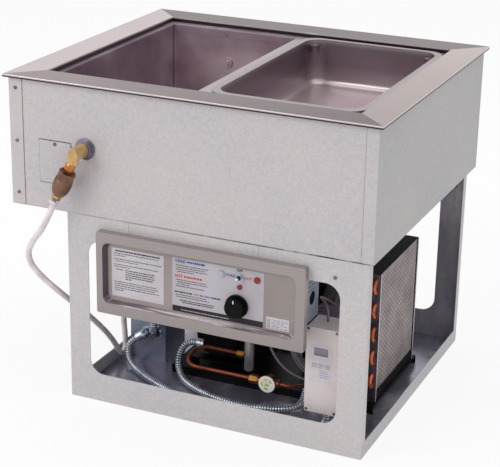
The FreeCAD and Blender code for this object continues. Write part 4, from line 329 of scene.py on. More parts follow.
# fill elbow, nipple, check valve and hose barb, one under the other on the front
fillLine = {
    "port": (-0.221, -0.343, 0.552),
    "corner": (-0.221, -0.372, 0.552),
    "way": (-0.43051, 0.0, -0.90258),
    "armEnd": 0.0425,
    "armRadius": 0.0148,
    "armSqueeze": 0.80,
    "armSoften": 0.0010,
    "legStart": -0.004,
    "legEnd": 0.021,
    "legRadius": 0.0128,
    "legSoften": 0.0008,
    "valveSteps": 56,
    "nippleProfile": [(0.017, 0.0), (0.017, 0.0100), (0.0205, 0.0106), (0.0215, 0.0088), (0.0235, 0.0086),
                      (0.0245, 0.0100), (0.031, 0.0105), (0.038, 0.0104), (0.0405, 0.0092), (0.049, 0.0090),
                      (0.049, 0.0)],
    "valveProfile": [(0.0615, 0.0), (0.0615, 0.0172), (0.0640, 0.0184), (0.0680, 0.0189), (0.0740, 0.01895),
                     (0.0800, 0.0187), (0.0860, 0.0180), (0.0910, 0.0168), (0.0945, 0.0152), (0.0970, 0.0136),
                     (0.1000, 0.0124), (0.1000, 0.0)],
    "collar": (0.0468, 0.0655),
    "collarRadii": (0.018048, 0.0192),
    "collarSoften": 0.0016,
    "mouthProfile": [(0.0470, 0.0178), (0.0450, 0.0166), (0.0450, 0.0138), (0.0462, 0.0120), (0.0490, 0.0112)],
    "barbHex": (0.0985, 0.1075),
    "barbRadius": 0.0098,
    "barbSoften": 0.0006,
    "bandProfile": [(0.1065, 0.0), (0.1065, 0.0088), (0.1080, 0.0092), (0.1115, 0.0090), (0.1125, 0.0076),
                    (0.1125, 0.0)],
}


def makeFillLine(look):
    arm = along(look["port"], (0, -1, 0), (0, 0, 1))
    leg = along(look["corner"], look["way"])
    meshes = {name: bmesh.new() for name in ("elbow", "nipple", "valve", "collar", "barb", "band")}
    addPrism(meshes["elbow"], 6, look["armRadius"], 0.0, look["armEnd"], arm, look["armSqueeze"], look["armSoften"])
    addPrism(meshes["elbow"], 8, look["legRadius"], look["legStart"], look["legEnd"], leg, 1.0, look["legSoften"])
    addTurned(meshes["nipple"], look["nippleProfile"], leg)
    addTurned(meshes["valve"], look["valveProfile"], leg, look["valveSteps"])
    addTurned(meshes["valve"], look["mouthProfile"], leg, look["valveSteps"])
    addPrism(meshes["collar"], 6, look["collarRadii"][0], *look["collar"], leg, 1.0, look["collarSoften"],
             look["collarRadii"][1])
    addPrism(meshes["barb"], 6, look["barbRadius"], *look["barbHex"], leg, 1.0, look["barbSoften"])
    addTurned(meshes["band"], look["bandProfile"], leg)
    return {
        "elbow": putPiece("fillElbow", meshes["elbow"], "well", ["fill_fittings"]),
        "nipple": putPiece("fillNipple", meshes["nipple"], "well", smooth=True),
        "valve": putPiece("checkValveShell", meshes["valve"], "well", ["check_valve_body"], smooth=True),
        "collar": putPiece("checkValveCollar", meshes["collar"], "well"),
        "barb": putPiece("hoseBarb", meshes["barb"], "well"),
        "band": putPiece("barbBand", meshes["band"], "well", smooth=True),
    }


# condenser fins: thin zigzag sheets on edge
finPack = {
    "low": (0.2845, -0.116, 0.044),
    "high": (0.3372, 0.110, 0.3055),
    "count": 104,
    "wave": 0.0104,
    "swing": 0.00055,
    "thickness": 0.0009,
    "slitRow": 0.0052,
    "slitStep": 0.0130,
    "slitFrom": 0.58,
    "slitShare": 0.76,
    "shadeDepth": 0.012,
}


def makeFins(look):
    mesh = bmesh.new()
    x0, y0, z0 = look["low"]
    x1, y1, z1 = look["high"]
    halves = round((z1 - z0) / look["wave"] * 2)
    heights = sorted({z0, z1} | {z0 + step * look["wave"] / 2 for step in range(halves - 1)})
    for index in range(look["count"]):
        y = y0 + look["swing"] * 2 + (y1 - y0 - look["swing"] * 4) * index / (look["count"] - 1)
        chain = [mesh.verts.new((x0, y + look["swing"] * (1 if step % 2 else -1), height))
                 for step, height in enumerate(heights)]
        for pair in zip(chain, chain[1:]):
            mesh.edges.new(pair)
    made = bmesh.ops.extrude_edge_only(mesh, edges=mesh.edges[:])
    moved = [item for item in made["geom"] if isinstance(item, bmesh.types.BMVert)]
    bmesh.ops.translate(mesh, verts=moved, vec=(x1 - x0, 0, 0))
    piece = putPiece("condenserFinPack", mesh, "well", ["condenser_fins"])
    thick = piece.modifiers.new("sheet", "SOLIDIFY")
    thick.thickness = look["thickness"]
    thick.offset = 0
    return piece


# print: low bars stand for lines of small type, and only plain words are spelled out
inkDepth = 0.00014
typeLook = {
    "leastWord": 0.0012,
    "wordWidths": (0.0022, 0.0080),
    "halfHeightShares": (0.34, 0.42),
    "gapShares": (0.8, 1.2),
}
panelPrint = {
    "front": -0.3385,
    "stripe": (-0.0255, 0.1725, 0.2424, 0.2552),
    "stripeRow": (-0.0055, 0.0985, 0.2476),
    "stripeRowHeight": 0.0016,
    # ink and height of each group, then the start, end and middle height of its rows
    "rows": [
        ("black", 0.0027, [(-0.009, 0.068, 0.2680), (-0.003, 0.064, 0.2640)]),
        ("grey", 0.0020, [
            (-0.018, 0.054, 0.3425), (-0.015, 0.046, 0.3380), (-0.018, 0.050, 0.3335), (-0.015, 0.022, 0.3290),
            (-0.018, 0.048, 0.3115), (-0.015, 0.052, 0.3070), (-0.015, 0.014, 0.3025), (-0.018, 0.044, 0.2980),
            (-0.018, 0.050, 0.2795), (-0.018, 0.056, 0.2750), (-0.157, -0.058, 0.3435), (-0.157, -0.132, 0.3390),
            (-0.157, -0.050, 0.3315), (-0.154, -0.104, 0.3270), (-0.157, -0.058, 0.3195), (-0.157, -0.120, 0.3150),
            (-0.157, -0.063, 0.2820), (-0.157, -0.058, 0.2775), (-0.157, -0.063, 0.2730), (-0.157, -0.056, 0.2685),
            (-0.157, -0.136, 0.2640)]),
        ("black", 0.0038, [(-0.154, -0.054, 0.3490)]),
        ("black", 0.0025, [
            (-0.132, -0.066, 0.3090), (-0.132, -0.067, 0.3043), (-0.132, -0.066, 0.2996), (-0.132, -0.070, 0.2949),
            (-0.132, -0.118, 0.2902), (-0.153, -0.138, 0.3090)]),
    ],
    "headings": [
        ("blue", 0.0048, [(0.007, 0.047, 0.3515)]),
        ("red", 0.0048, [(0.000, 0.041, 0.3195)]),
        ("black", 0.0036, [(-0.021, 0.020, 0.2853), (0.0355, 0.0420, 0.2853), (0.0600, 0.0820, 0.2853)]),
    ],
    "ratingRows": [0.2640, 0.2605, 0.2570, 0.2535, 0.2500, 0.2470],
    "ratingSpan": (0.1815, 0.2255),
    "ratingStagger": 0.004,
    "ratingMark": 0.006,
    "ratingIndent": 0.012,
    "ratingHeights": (0.0011, 0.0016),
    "ratingGaps": (0.0026, 0.0030),
    "words": [
        ("blue", "COLD", -0.019, 0.004, 0.3485, 0.3545),
        ("red", "HOT", -0.020, -0.003, 0.3165, 0.3225),
        ("red", "HOT", 0.0225, 0.0335, 0.2835, 0.2872),
        ("blue", "COLD", 0.0440, 0.0580, 0.2835, 0.2872),
        ("black", "OFF", 0.1150, 0.1280, 0.3520, 0.3570),
        ("blue", "COLD", 0.0916, 0.1130, 0.3385, 0.3440),
        ("red", "HOT", 0.1310, 0.1470, 0.3375, 0.3430),
    ],
}


def addRow(mesh, draws, x0, x1, z, front, height, gap=0.0011):
    # one line of small words, each a low bar
    x = x0
    while x < x1 - typeLook["leastWord"]:
        width = min(draws.uniform(*typeLook["wordWidths"]), x1 - x)
        low = height * draws.uniform(*typeLook["halfHeightShares"])
        addBox(mesh, (x, front - inkDepth, z - low), (x + width, front + inkDepth, z + low))
        x += width + gap * draws.uniform(*typeLook["gapShares"])


def addRows(inks, draws, groups, front):
    for ink, height, rows in groups:
        for row in rows:
            addRow(inks[ink], draws, *row, front, height)


def addWord(mesh, text, x0, x1, z0, z1, front, weight=0.036):
    data = bpy.data.curves.new("word", "FONT")
    data.body = text
    data.size = 1.0
    data.offset = weight
    data.resolution_u = 3
    data.fill_mode = "FRONT"
    holder = bpy.data.objects.new("word", data)
    bpy.context.scene.collection.objects.link(holder)
    bpy.context.view_layer.update()
    flat = bpy.data.meshes.new_from_object(holder.evaluated_get(bpy.context.evaluated_depsgraph_get()))
    bpy.data.objects.remove(holder)
    lowX, highX = min(v.co.x for v in flat.vertices), max(v.co.x for v in flat.vertices)
    lowZ, highZ = min(v.co.y for v in flat.vertices), max(v.co.y for v in flat.vertices)
    wide, tall = (x1 - x0) / (highX - lowX), (z1 - z0) / (highZ - lowZ)
    for vertex in flat.vertices:
        vertex.co = (x0 + (vertex.co.x - lowX) * wide, front - inkDepth, z0 + (vertex.co.y - lowZ) * tall)
    mesh.from_mesh(flat)
    bpy.data.meshes.remove(flat)


def makePrint(look):
    draws = random.Random(11)
    front = look["front"]
    inks = {ink: bmesh.new() for ink in ("black", "blue", "red", "grey", "white")}
    x0, x1, z0, z1 = look["stripe"]
    addBox(inks["black"], (x0, front - inkDepth, z0), (x1, front + inkDepth, z1))
    addRow(inks["white"], draws, *look["stripeRow"], front - inkDepth, look["stripeRowHeight"])
    addRows(inks, draws, look["rows"], front)
    start, end = look["ratingSpan"]
    small, tall = look["ratingHeights"]
    near, far = look["ratingGaps"]
    for index, z in enumerate(look["ratingRows"]):
        if index % 2 == 0:
            addRow(inks["grey"], draws, start, end - look["ratingStagger"] * index, z, front, small, near)
        else:
            addRow(inks["grey"], draws, start, start + look["ratingMark"], z, front, tall)
            addRow(inks["grey"], draws, start + look["ratingIndent"], end, z, front, small, far)
    addRows(inks, draws, look["headings"], front)
    for ink, text, start, end, low, high in look["words"]:
        addWord(inks[ink], text, start, end, low, high, front)
    return {ink: putPiece(ink + "Print", mesh, "well") for ink, mesh in inks.items()}


# pointer line on the front of the knob
knobMark = {"middle": 0.117, "wide": 0.0022, "low": 0.2905, "high": 0.2972, "front": -0.3595}


def makeKnobMark(look):
    mesh = bmesh.new()
    half = look["wide"] / 2
    addBox(mesh, (look["middle"] - half, look["front"] - 0.0002, look["low"]),
           (look["middle"] + half, look["front"] + 0.0002, look["high"]))
    bmesh.ops.bevel(mesh, geom=mesh.edges[:], offset=0.00012, segments=1, profile=0.5, affect="EDGES", material=-1)
    return putPiece("knobPointer", mesh, "thermostat_knob")


# controller: pale label round the window and keys, with key marks
label = {
    "low": (0.256, 0.130),
    "high": (0.306, 0.2095),
    "arch": 0.0045,
    "archSteps": 12,
    "front": -0.30015,
    "back": -0.2999,
    "window": (0.267, 0.297, 0.183, 0.209),
    "keyFront": -0.3008,
    "keyMiddles": [0.2685, 0.2820, 0.2955],
    "keyHeight": 0.1665,
    "markHalf": 0.0040,
    "dashHalf": 0.0010,
    "dashShare": 0.72,
    "line": 0.0007,
    "dotRadius": 0.0013,
    "arrowRadius": 0.0021,
    "rows": (0.1560, 0.1515, 0.1470, 0.1425),
    "rowSpan": (0.2800, 0.3000),
    "rowHeight": 0.0016,
    "rowStagger": 0.003,
}


def makeLabel(look):
    mesh = bmesh.new()
    x0, z0 = look["low"]
    x1, z1 = look["high"]
    corners = [mesh.verts.new((x1, look["back"], z0)), mesh.verts.new((x0, look["back"], z0))]
    for step in range(look["archSteps"] + 1):
        share = step / look["archSteps"]
        height = z1 + look["arch"] * (1 - (2 * share - 1) ** 2)
        corners.append(mesh.verts.new((x0 + (x1 - x0) * share, look["back"], height)))
    sheet = mesh.faces.new(corners)
    made = bmesh.ops.extrude_face_region(mesh, geom=[sheet])
    moved = [item for item in made["geom"] if isinstance(item, bmesh.types.BMVert)]
    bmesh.ops.translate(mesh, verts=moved, vec=(0, look["front"] - look["back"], 0))
    panel = putPiece("controllerLabel", mesh, "well")
    marks = []
    for index, x in enumerate(look["keyMiddles"]):
        mesh = bmesh.new()
        half, dash, line, front = look["markHalf"], look["dashHalf"], look["line"] / 2, look["keyFront"]
        z = look["keyHeight"]
        for step in (-1, 0, 1):
            at = step * half * look["dashShare"]
            for side in (-half, half):
                addBox(mesh, (x + at - dash, front - inkDepth, z + side - line),
                       (x + at + dash, front + inkDepth, z + side + line))
                addBox(mesh, (x + side - line, front - inkDepth, z + at - dash),
                       (x + side + line, front + inkDepth, z + at + dash))
        # a dot, an arrow up and an arrow down
        corners, radius, up = [(20, look["dotRadius"], (0, 0, 1)), (3, look["arrowRadius"], (1, 0, 0)),
                               (3, look["arrowRadius"], (-1, 0, 0))][index]
        bmesh.ops.create_circle(mesh, cap_ends=True, segments=corners, radius=radius,
                                matrix=along((x, front - inkDepth, z), (0, -1, 0), up))
        marks.append(putPiece("keyMark" + str(index + 1), mesh, "key_" + str(index + 1)))
    mesh = bmesh.new()
    draws = random.Random(5)
    start, end = look["rowSpan"]
    for index, z in enumerate(look["rows"]):
        addRow(mesh, draws, start, end - look["rowStagger"] * (index % 2), z, look["front"], look["rowHeight"])
    marks.append(putPiece("labelPrint", mesh, "well"))
    return panel, marks


fillPieces = makeFillLine(fillLine)
finPiece = makeFins(finPack)
prints = makePrint(panelPrint)
knobPointer = makeKnobMark(knobMark)
labelPanel, keyMarks = makeLabel(label)
print("pieces made")


# materials: a value of a node that takes plain arithmetic, and a surface that holds its nodes
def grey(level):
    return (level, level, level, 1)


def give(tree, port, value):
    # a value is linked; three numbers on a colour socket are a screen colour
    if isinstance(value, Value):
        tree.links.new(value.socket, port)
    elif value is not None:
        isTone = port.type == "RGBA" and len(value) == 3
        port.default_value = tone(*value) if isTone else value


socketNames = {
    "colour": "Base Color",
    "roughness": "Roughness",
    "metal": "Metallic",
    "shine": "Specular IOR Level",
    "coat": "Coat Weight",
    "scatter": "Subsurface Weight",
    "scatterRadius": "Subsurface Radius",
}


def mixNode(tree, factor, first, second, blend):
    node = tree.nodes.new("ShaderNodeMix")
    node.data_type = "RGBA"
    node.blend_type = blend
    for port, value in ((node.inputs["Factor"], factor), (node.inputs[6], first), (node.inputs[7], second)):
        give(tree, port, value)
    return Value(tree, node.outputs[2])


def separated(tree, socket):
    node = tree.nodes.new("ShaderNodeSeparateXYZ")
    tree.links.new(socket, node.inputs[0])
    return [Value(tree, output) for output in node.outputs]


def operator(operation):
    def work(self, other=None):
        node = self.tree.nodes.new("ShaderNodeMath")
        node.operation = operation
        give(self.tree, node.inputs[0], self)
        give(self.tree, node.inputs[1], other)
        return Value(self.tree, node.outputs["Value"])
    return work


class Value:
    def __init__(self, tree, socket):
        self.tree = tree
        self.socket = socket

    __add__, __sub__, __mul__, __truediv__ = map(operator, ("ADD", "SUBTRACT", "MULTIPLY", "DIVIDE"))
    __mod__, __lt__, __gt__, __abs__ = map(operator, ("MODULO", "LESS_THAN", "GREATER_THAN", "ABSOLUTE"))
    larger, fraction, cosine, root, turnFrom = map(operator, ("MAXIMUM", "FRACT", "COSINE", "SQRT", "ARCTAN2"))

    def __rsub__(self, number):
        return self * -1.0 + number

    def near(self, middle, half):
        # 1 where the value is within half of middle
        return abs(self - middle) < half

    def between(self, low, high):
        return self.near((low + high) / 2, (high - low) / 2)

    def times(self, colour):
        return mixNode(self.tree, 1.0, self, colour, "MULTIPLY")

    def ranged(self, low, high, newLow, newHigh):
        node = self.tree.nodes.new("ShaderNodeMapRange")
        for port, value in zip(node.inputs, (self, low, high, newLow, newHigh)):
            give(self.tree, port, value)
        return Value(self.tree, node.outputs[0])

    def spread(self, newLow, newHigh):
        # the middle of a noise, from 0.3 to 0.7, stretched to new limits
        return self.ranged(0.3, 0.7, newLow, newHigh)

    def ramp(self, *stops):
        node = self.tree.nodes.new("ShaderNodeValToRGB")
        elements = node.color_ramp.elements
        while len(elements) < len(stops):
            elements.new(0.5)
        for element, (place, colour) in zip(elements, stops):
            element.position = place
            element.color = tone(*colour) if len(colour) == 3 else colour
        self.tree.links.new(self.socket, node.inputs["Fac"])
        return Value(self.tree, node.outputs["Color"])


class Surface:
    def __init__(self, name):
        self.material = bpy.data.materials.new(name)
        self.material.use_nodes = True
        self.tree = self.material.node_tree
        self.shader = self.tree.nodes["Principled BSDF"]
        self.plain = self.coords()
        self.place = separated(self.tree, self.plain)

    def coords(self, scale=(1, 1, 1)):
        source = self.tree.nodes.new("ShaderNodeTexCoord")
        mapping = self.tree.nodes.new("ShaderNodeMapping")
        mapping.inputs["Scale"].default_value = scale
        self.tree.links.new(source.outputs["Object"], mapping.inputs["Vector"])
        return mapping.outputs["Vector"]

    def facing(self):
        return separated(self.tree, self.tree.nodes.new("ShaderNodeNewGeometry").outputs["Normal"])

    def noise(self, scale, detail=3.0, roughness=0.5):
        # one number scales all ways alike, three stretch the pattern
        stretched = isinstance(scale, tuple)
        texture = self.tree.nodes.new("ShaderNodeTexNoise")
        texture.inputs["Scale"].default_value = 1.0 if stretched else scale
        texture.inputs["Detail"].default_value = detail
        texture.inputs["Roughness"].default_value = roughness
        self.tree.links.new(self.coords(scale) if stretched else self.plain, texture.inputs["Vector"])
        return Value(self.tree, texture.outputs["Fac"])

    def cells(self, scale):
        texture = self.tree.nodes.new("ShaderNodeTexVoronoi")
        texture.inputs["Scale"].default_value = scale
        self.tree.links.new(self.plain, texture.inputs["Vector"])
        return texture.outputs

    def mix(self, factor, first, second):
        return mixNode(self.tree, factor, first, second, "MIX")

    def set(self, **values):
        for name, value in values.items():
            give(self.tree, self.shader.inputs[socketNames[name]], value)
        return self

    def bump(self, height, strength, distance):
        node = self.tree.nodes.new("ShaderNodeBump")
        node.inputs["Strength"].default_value = strength
        node.inputs["Distance"].default_value = distance
        self.tree.links.new(height.socket, node.inputs["Height"])
        self.tree.links.new(node.outputs["Normal"], self.shader.inputs["Normal"])
        return self


def barSteel():
    # fine lines along the bar, with slow changes of tone
    steel = Surface("barSteel")
    lines = steel.noise((900, 3, 900), 4.0, 0.6)
    slow = steel.noise((2.2, 2.2, 2.2), 2.0)
    colour = (lines * 0.55 + slow * 0.45).ramp((0.32, (150, 138, 142)), (0.68, (196, 186, 188)))
    return steel.set(colour=colour, roughness=lines.spread(0.25, 0.38), metal=0.8).bump(lines, 0.12, 0.0004)


rimLook = {
    "cornerOffset": 0.058,
    "halfLength": 0.40,
    "halfDepth": 0.34,
    # painted reflection: the left side light, the front and back dark, the front darker to the right, the right
    # lighter to the back
    "front": ((142, 128, 131), (100, 86, 88)),
    "back": (112, 102, 101),
    "left": (194, 180, 182),
    "right": ((160, 147, 146), (186, 173, 170)),
    "mitreHalf": 0.0010,
    "lip": (0.680, 0.686),
}


def rimSteel(look):
    # the brushing follows each side of the rim and meets at the mitres; each side also wears painted reflection
    steel = Surface("rimSteel")
    x, y, z = steel.place
    endShare = abs(x) - look["cornerOffset"]
    onEnds = endShare > abs(y)
    lines = steel.mix(onEnds, steel.noise((3, 900, 900), 4.0, 0.6), steel.noise((900, 3, 900), 4.0, 0.6))
    # painted reflection: the tone of each side of the rim
    front = steel.mix(x.ranged(-look["halfLength"], look["halfLength"], 0.0, 1.0), *look["front"])
    right = steel.mix(y.ranged(-look["halfDepth"], look["halfDepth"], 0.0, 1.0), *look["right"])
    long = steel.mix(y > 0.0, front, look["back"])
    ends = steel.mix(x > 0.0, look["left"], right)
    shade = steel.noise((2.5, 2.5, 2.5), 2.0).ramp((0.3, grey(0.90)), (0.7, grey(1.04)))
    streaks = lines.ramp((0.3, grey(0.93)), (0.7, grey(1.04)))
    colour = steel.mix(onEnds, long, ends).times(shade).times(streaks)
    mitre = abs(endShare - abs(y)) < look["mitreHalf"]
    colour = steel.mix(mitre * 0.6, colour, (112, 100, 104))
    # painted shadow low on the rim's upright faces and a painted highlight along their upper edge
    upright = abs(steel.facing()[2]) < 0.7
    edge = z.ranged(*look["lip"], 0.0, 1.0).ramp((0.0, (20, 12, 16)), (0.40, (46, 34, 40)), (0.56, (196, 184, 188)),
                                                 (1.0, (226, 216, 219)))
    colour = steel.mix(upright * 0.95, colour, edge)
    return steel.set(colour=colour, roughness=lines.spread(0.30, 0.44), metal=0.55).bump(lines, 0.08, 0.0004)


linerLook = {
    "shadeFromTo": (0.50, 0.67),
    "lightPatchMiddle": (-0.15, 0.565),
    "lightPatchHalf": (0.15, 0.075),
    "corner": (-0.3225, 0.2525),
    "seamHalf": 0.0035,
}


def linerSteel(look):
    # dull steel with painted shade, darker up the walls, a painted light patch on the back wall, faint blotches and a
    # dark welded corner
    steel = Surface("linerSteel")
    x, y, z = steel.place
    grain = steel.noise((60, 60, 420), 4.0, 0.6)
    blend = steel.noise(7.0, 3.0, 0.55) * 0.6 + steel.noise((5, 5, 8), 2.0) * 0.4
    wall = blend.ramp((0.34, (118, 98, 112)), (0.50, (146, 126, 138)), (0.66, (186, 168, 176)))
    # painted shade: lighter near the floor, darker up the walls under the rim
    height = z.ranged(*look["shadeFromTo"], 0.0, 1.0)
    wall = wall.times(height.ramp((0.0, (1.45, 1.42, 1.42, 1)), (0.45, (1.15, 1.12, 1.12, 1)),
                                  (1.0, (0.78, 0.74, 0.77, 1))))
    # painted light: a pale patch on the back wall
    across = (x - look["lightPatchMiddle"][0]) / look["lightPatchHalf"][0]
    up = (z - look["lightPatchMiddle"][1]) / look["lightPatchHalf"][1]
    paintedLightPatch = (across * across + up * up).ranged(0.0, 1.0, 0.75, 0.0) * (y > 0.0)
    wall = steel.mix(paintedLightPatch, wall, (206, 190, 190))
    seam = x.near(look["corner"][0], look["seamHalf"]) * y.near(look["corner"][1], look["seamHalf"])
    colour = steel.mix(seam * 0.6, wall, (60, 48, 56))
    return steel.set(colour=colour, roughness=grain.spread(0.34, 0.50), metal=0.45).bump(grain, 0.06, 0.0003)


panFloorAndRim = (0.582, 0.676)


def drawnSteel():
    # the pan is smooth drawn steel with soft, wide changes of tone; painted shade darkens its walls, painted light
    # brightens its floor and the top of its rim
    steel = Surface("panSteel")
    slow = steel.noise(6.0, 2.0)
    height = steel.place[2].ranged(*panFloorAndRim, 0.0, 1.0)
    # painted light and shade by height: pale floor, dark walls, paler rim top
    wall = height.ramp((0.0, (192, 180, 182)), (0.14, (168, 154, 158)), (0.5, (130, 112, 122)),
                       (0.93, (122, 104, 114)), (0.99, (136, 125, 128)), (1.0, (152, 141, 144)))
    drift = slow.ramp((0.3, grey(0.90)), (0.7, (1.06, 1.05, 1.05, 1)))
    return steel.set(colour=wall.times(drift), roughness=slow.spread(0.26, 0.32), metal=0.7)


zincGrain = {"lift": (0.9775, 1.0175), "crystal": (0.965, 1.02), "speck": (0.87, 1.08), "drift": (0.97, 1.02)}


def zincSheet(name, base, pink, blue, roughness=(0.42, 0.6), metal=0.30):
    # fine crystals of zinc, with a slight pink and blue drift
    sheet = Surface(name)
    crystal = separated(sheet.tree, sheet.cells(150.0)["Color"])
    fine = sheet.noise(330.0, 4.0, 0.7)
    coarse = sheet.noise(90.0, 4.0, 0.6)
    slow = sheet.noise(4.0)
    colour = (crystal[1] * 0.30 + slow * 0.70).ramp((0.28, blue), (0.50, base), (0.74, pink))
    level = (slow.spread(*zincGrain["lift"]) * crystal[0].ranged(0.0, 1.0, *zincGrain["crystal"])
             * fine.spread(*zincGrain["speck"]) * coarse.spread(*zincGrain["drift"]))
    sheet.set(roughness=crystal[0].ranged(0.0, 1.0, *roughness), metal=metal).bump(fine, 0.05, 0.0004)
    return sheet, colour.times(level)


def plainZinc(*look):
    sheet, colour = zincSheet(*look)
    return sheet.set(colour=colour)


seams = {
    "front": -0.3343,
    "flangeLeft": -0.3637,
    "flangeRight": 0.3687,
    "coverMiddle": (-0.2905, 0.5135),
    "coverHalf": (0.0365, 0.0445),
    "line": 0.0013,
    "frameTop": 0.4120,
    "scoreLeft": -0.125,
    "scoreRight": 0.1583,
    "scoreBottom": 0.388,
    "shadedSideStart": 0.3932,
    "openFrom": -0.27,
    "openTo": 0.30,
}


def seamShadowStrength(sheet, look):
    # painted shadow along the seam between housing and frame, broken, and stronger to the right
    broken = sheet.noise((26, 26, 26)).ranged(0.32, 0.55, 0.15, 1.0)
    return broken * sheet.place[0].ranged(look["openFrom"], look["openTo"], 0.25, 1.0)


def housingZinc(look):
    # painted shadow lines where the sheets lap, round the access cover, fainter on its left side, and along the foot
    # of the housing
    sheet, colour = zincSheet("housingZinc", (197, 191, 193), (198, 190, 190), (190, 188, 193))
    x, y, z = sheet.place
    line = look["line"]
    middle, half = look["coverMiddle"], look["coverHalf"]
    lap = x.near(look["flangeLeft"], line * 0.45).larger(x.near(look["flangeRight"], line * 0.45)) * 0.55
    over = (abs(x - middle[0]) - half[0]).larger(abs(z - middle[1]) - half[1])
    ring = over.near(line * 0.5, line * 0.6) * (x < middle[0] - half[0]).ranged(0.0, 1.0, 0.95, 0.35)
    foot = (z < look["frameTop"] + line * 1.2) * seamShadowStrength(sheet, look)
    # painted shadow lines, on the front faces only
    drawn = (y < look["front"]) * foot.larger(lap.larger(ring))
    # painted shade: the housing's right side face is darker
    colour = sheet.mix(x > look["shadedSideStart"], colour, colour.times((0.84, 0.86, 0.85, 1)))
    return sheet.set(colour=sheet.mix(drawn, colour, (64, 58, 62)))


def frameZinc(look):
    # painted shadow along the seam at the top and dark score lines; the inner faces are darker with painted shade,
    # with pale streaks of painted reflection
    sheet, colour = zincSheet("frameZinc", (199, 195, 196), (200, 193, 192), (191, 190, 195))
    x, y, z = sheet.place
    facing = sheet.facing()
    line = look["line"]
    # painted shadow along the seam under the housing
    top = (z > look["frameTop"] - line * 1.1) * seamShadowStrength(sheet, look)
    score = x.near(look["scoreLeft"], line * 0.4).larger(x.near(look["scoreRight"], line * 0.4))
    drawn = (y < look["front"]) * top.larger(score * (z > look["scoreBottom"]) * 0.5)
    # painted shade on the frame's inner faces, with pale streaks of painted reflection
    inner = (facing[0] < -0.5).larger((facing[1] < -0.5) * (y > 0.0))
    innerShadeAndReflection = sheet.noise((9, 9, 3), 4.0, 0.6).ramp((0.38, (0.40, 0.39, 0.45, 1)), (0.52, (0.60, 0.59, 0.66, 1)),
                                                 (0.60, (0.95, 0.93, 0.98, 1)), (0.68, (0.62, 0.61, 0.68, 1)))
    colour = sheet.mix(inner, colour, colour.times(innerShadeAndReflection))
    return sheet.set(colour=sheet.mix(drawn, colour, (62, 56, 60)))


trayLook = {"sideFrom": 0.30, "apron": -0.334}


def traySteel(look):
    # bright floor sheet that mirrors what stands on it; its front apron is plain zinc and its side lips carry painted
    # shade
    sheet, colour = zincSheet("trayZinc", (196, 193, 196), (200, 192, 193), (188, 189, 198))
    x, y, z = sheet.place
    facing = sheet.facing()
    floor = 1.0 - (facing[2] < 0.6)
    mottle = sheet.noise((9, 6, 6), 4.0, 0.55)
    floorTone = mottle.ramp((0.30, (120, 117, 132)), (0.52, (152, 149, 164)), (0.72, (204, 204, 214)))
    # painted shade: on the side lips every face not turned towards +x is dark
    side = (abs(x) > look["sideFrom"]) * (y > look["apron"])
    colour = sheet.mix(side, colour, sheet.mix(side * (facing[0] > 0.5), (64, 58, 68), (184, 182, 184)))
    roughness = floor * (mottle.spread(0.16, 0.34) - 0.5) + 0.5
    return sheet.set(colour=sheet.mix(floor, colour, floorTone), roughness=roughness,
                     metal=floor.ranged(0.0, 1.0, 0.30, 0.60))


def endPlateZinc():
    # the faces of the ends are dark with painted shade, the edges pale
    sheet, colour = zincSheet("endPlateZinc", (196, 190, 194), (198, 188, 188), (188, 186, 194), (0.36, 0.5))
    endFaceShade = sheet.noise((60, 60, 30)).ramp((0.35, (50, 44, 54)), (0.7, (112, 104, 116)))
    return sheet.set(colour=sheet.mix(abs(sheet.facing()[1]) > 0.7, colour, endFaceShade))


def finSheet(look):
    # pale edges with slits cut between them, each row set half a step along, and painted shade deeper in the pack
    sheet = Surface("finAluminium")
    x, y, z = sheet.place
    row = z / look["slitRow"]
    oddRow = (row % 2.0) > 1.0
    step = (y / look["slitStep"] + oddRow * 0.5).fraction()
    slit = (row.fraction() > look["slitFrom"]) * (step < look["slitShare"])
    # painted shade between the fins, darker away from their outer edges
    deep = x.ranged(look["high"][0] - look["shadeDepth"], look["high"][0], 0.75, 0.0)
    dirt = sheet.noise((18, 18, 18), 4.0, 0.6)
    pale = dirt.ramp((0.3, (178, 164, 166)), (0.7, (222, 212, 210)))
    colour = sheet.mix(deep, sheet.mix(slit * 0.85, pale, (62, 50, 58)), (70, 60, 68))
    return sheet.set(colour=colour, roughness=dirt.spread(0.4, 0.55), metal=0.25)


def castMetal(name, dark, light, roughness=(0.3, 0.5), metal=0.9, grain=220.0, strength=0.3):
    # cast, turned or plated metal; grain and strength set how rough the skin is
    cast = Surface(name)
    rough = cast.noise(grain, 5.0, 0.6)
    colour = cast.noise(28.0).ramp((0.3, dark), (0.7, light))
    return cast.set(colour=colour, roughness=rough.spread(*roughness), metal=metal).bump(rough, strength, 0.0006)


def blackPaint(name, dark, light, roughness=(0.4, 0.55)):
    # black enamel with a weak shine
    paint = Surface(name)
    fine = paint.noise(500.0)
    colour = paint.noise(24.0).ramp((0.3, dark), (0.7, light))
    return paint.set(colour=colour, roughness=fine.spread(*roughness), shine=0.09).bump(fine, 0.1, 0.0003)


def moulded(name, base, roughness=(0.35, 0.55), shift=8):
    # plastic with a fine grain, a little darker and lighter by shift
    plastic = Surface(name)
    fine = plastic.noise(900.0)
    colour = plastic.noise(18.0).ramp((0.3, [v - shift for v in base]), (0.7, [v + shift for v in base]))
    return plastic.set(colour=colour, roughness=fine.spread(*roughness)).bump(fine, 0.15, 0.0003)


def breakerStrip():
    # grey plastic, paler along the back where it catches the light
    strip = Surface("breakerPlastic")
    base = strip.mix(strip.place[1] > 0.235, (90, 78, 80), (156, 143, 142))
    drift = strip.noise(16.0).ramp((0.3, (0.86, 0.85, 0.86, 1)), (0.7, (1.08, 1.08, 1.07, 1)))
    return strip.set(colour=base.times(drift), roughness=strip.noise(500.0).spread(0.40, 0.55))


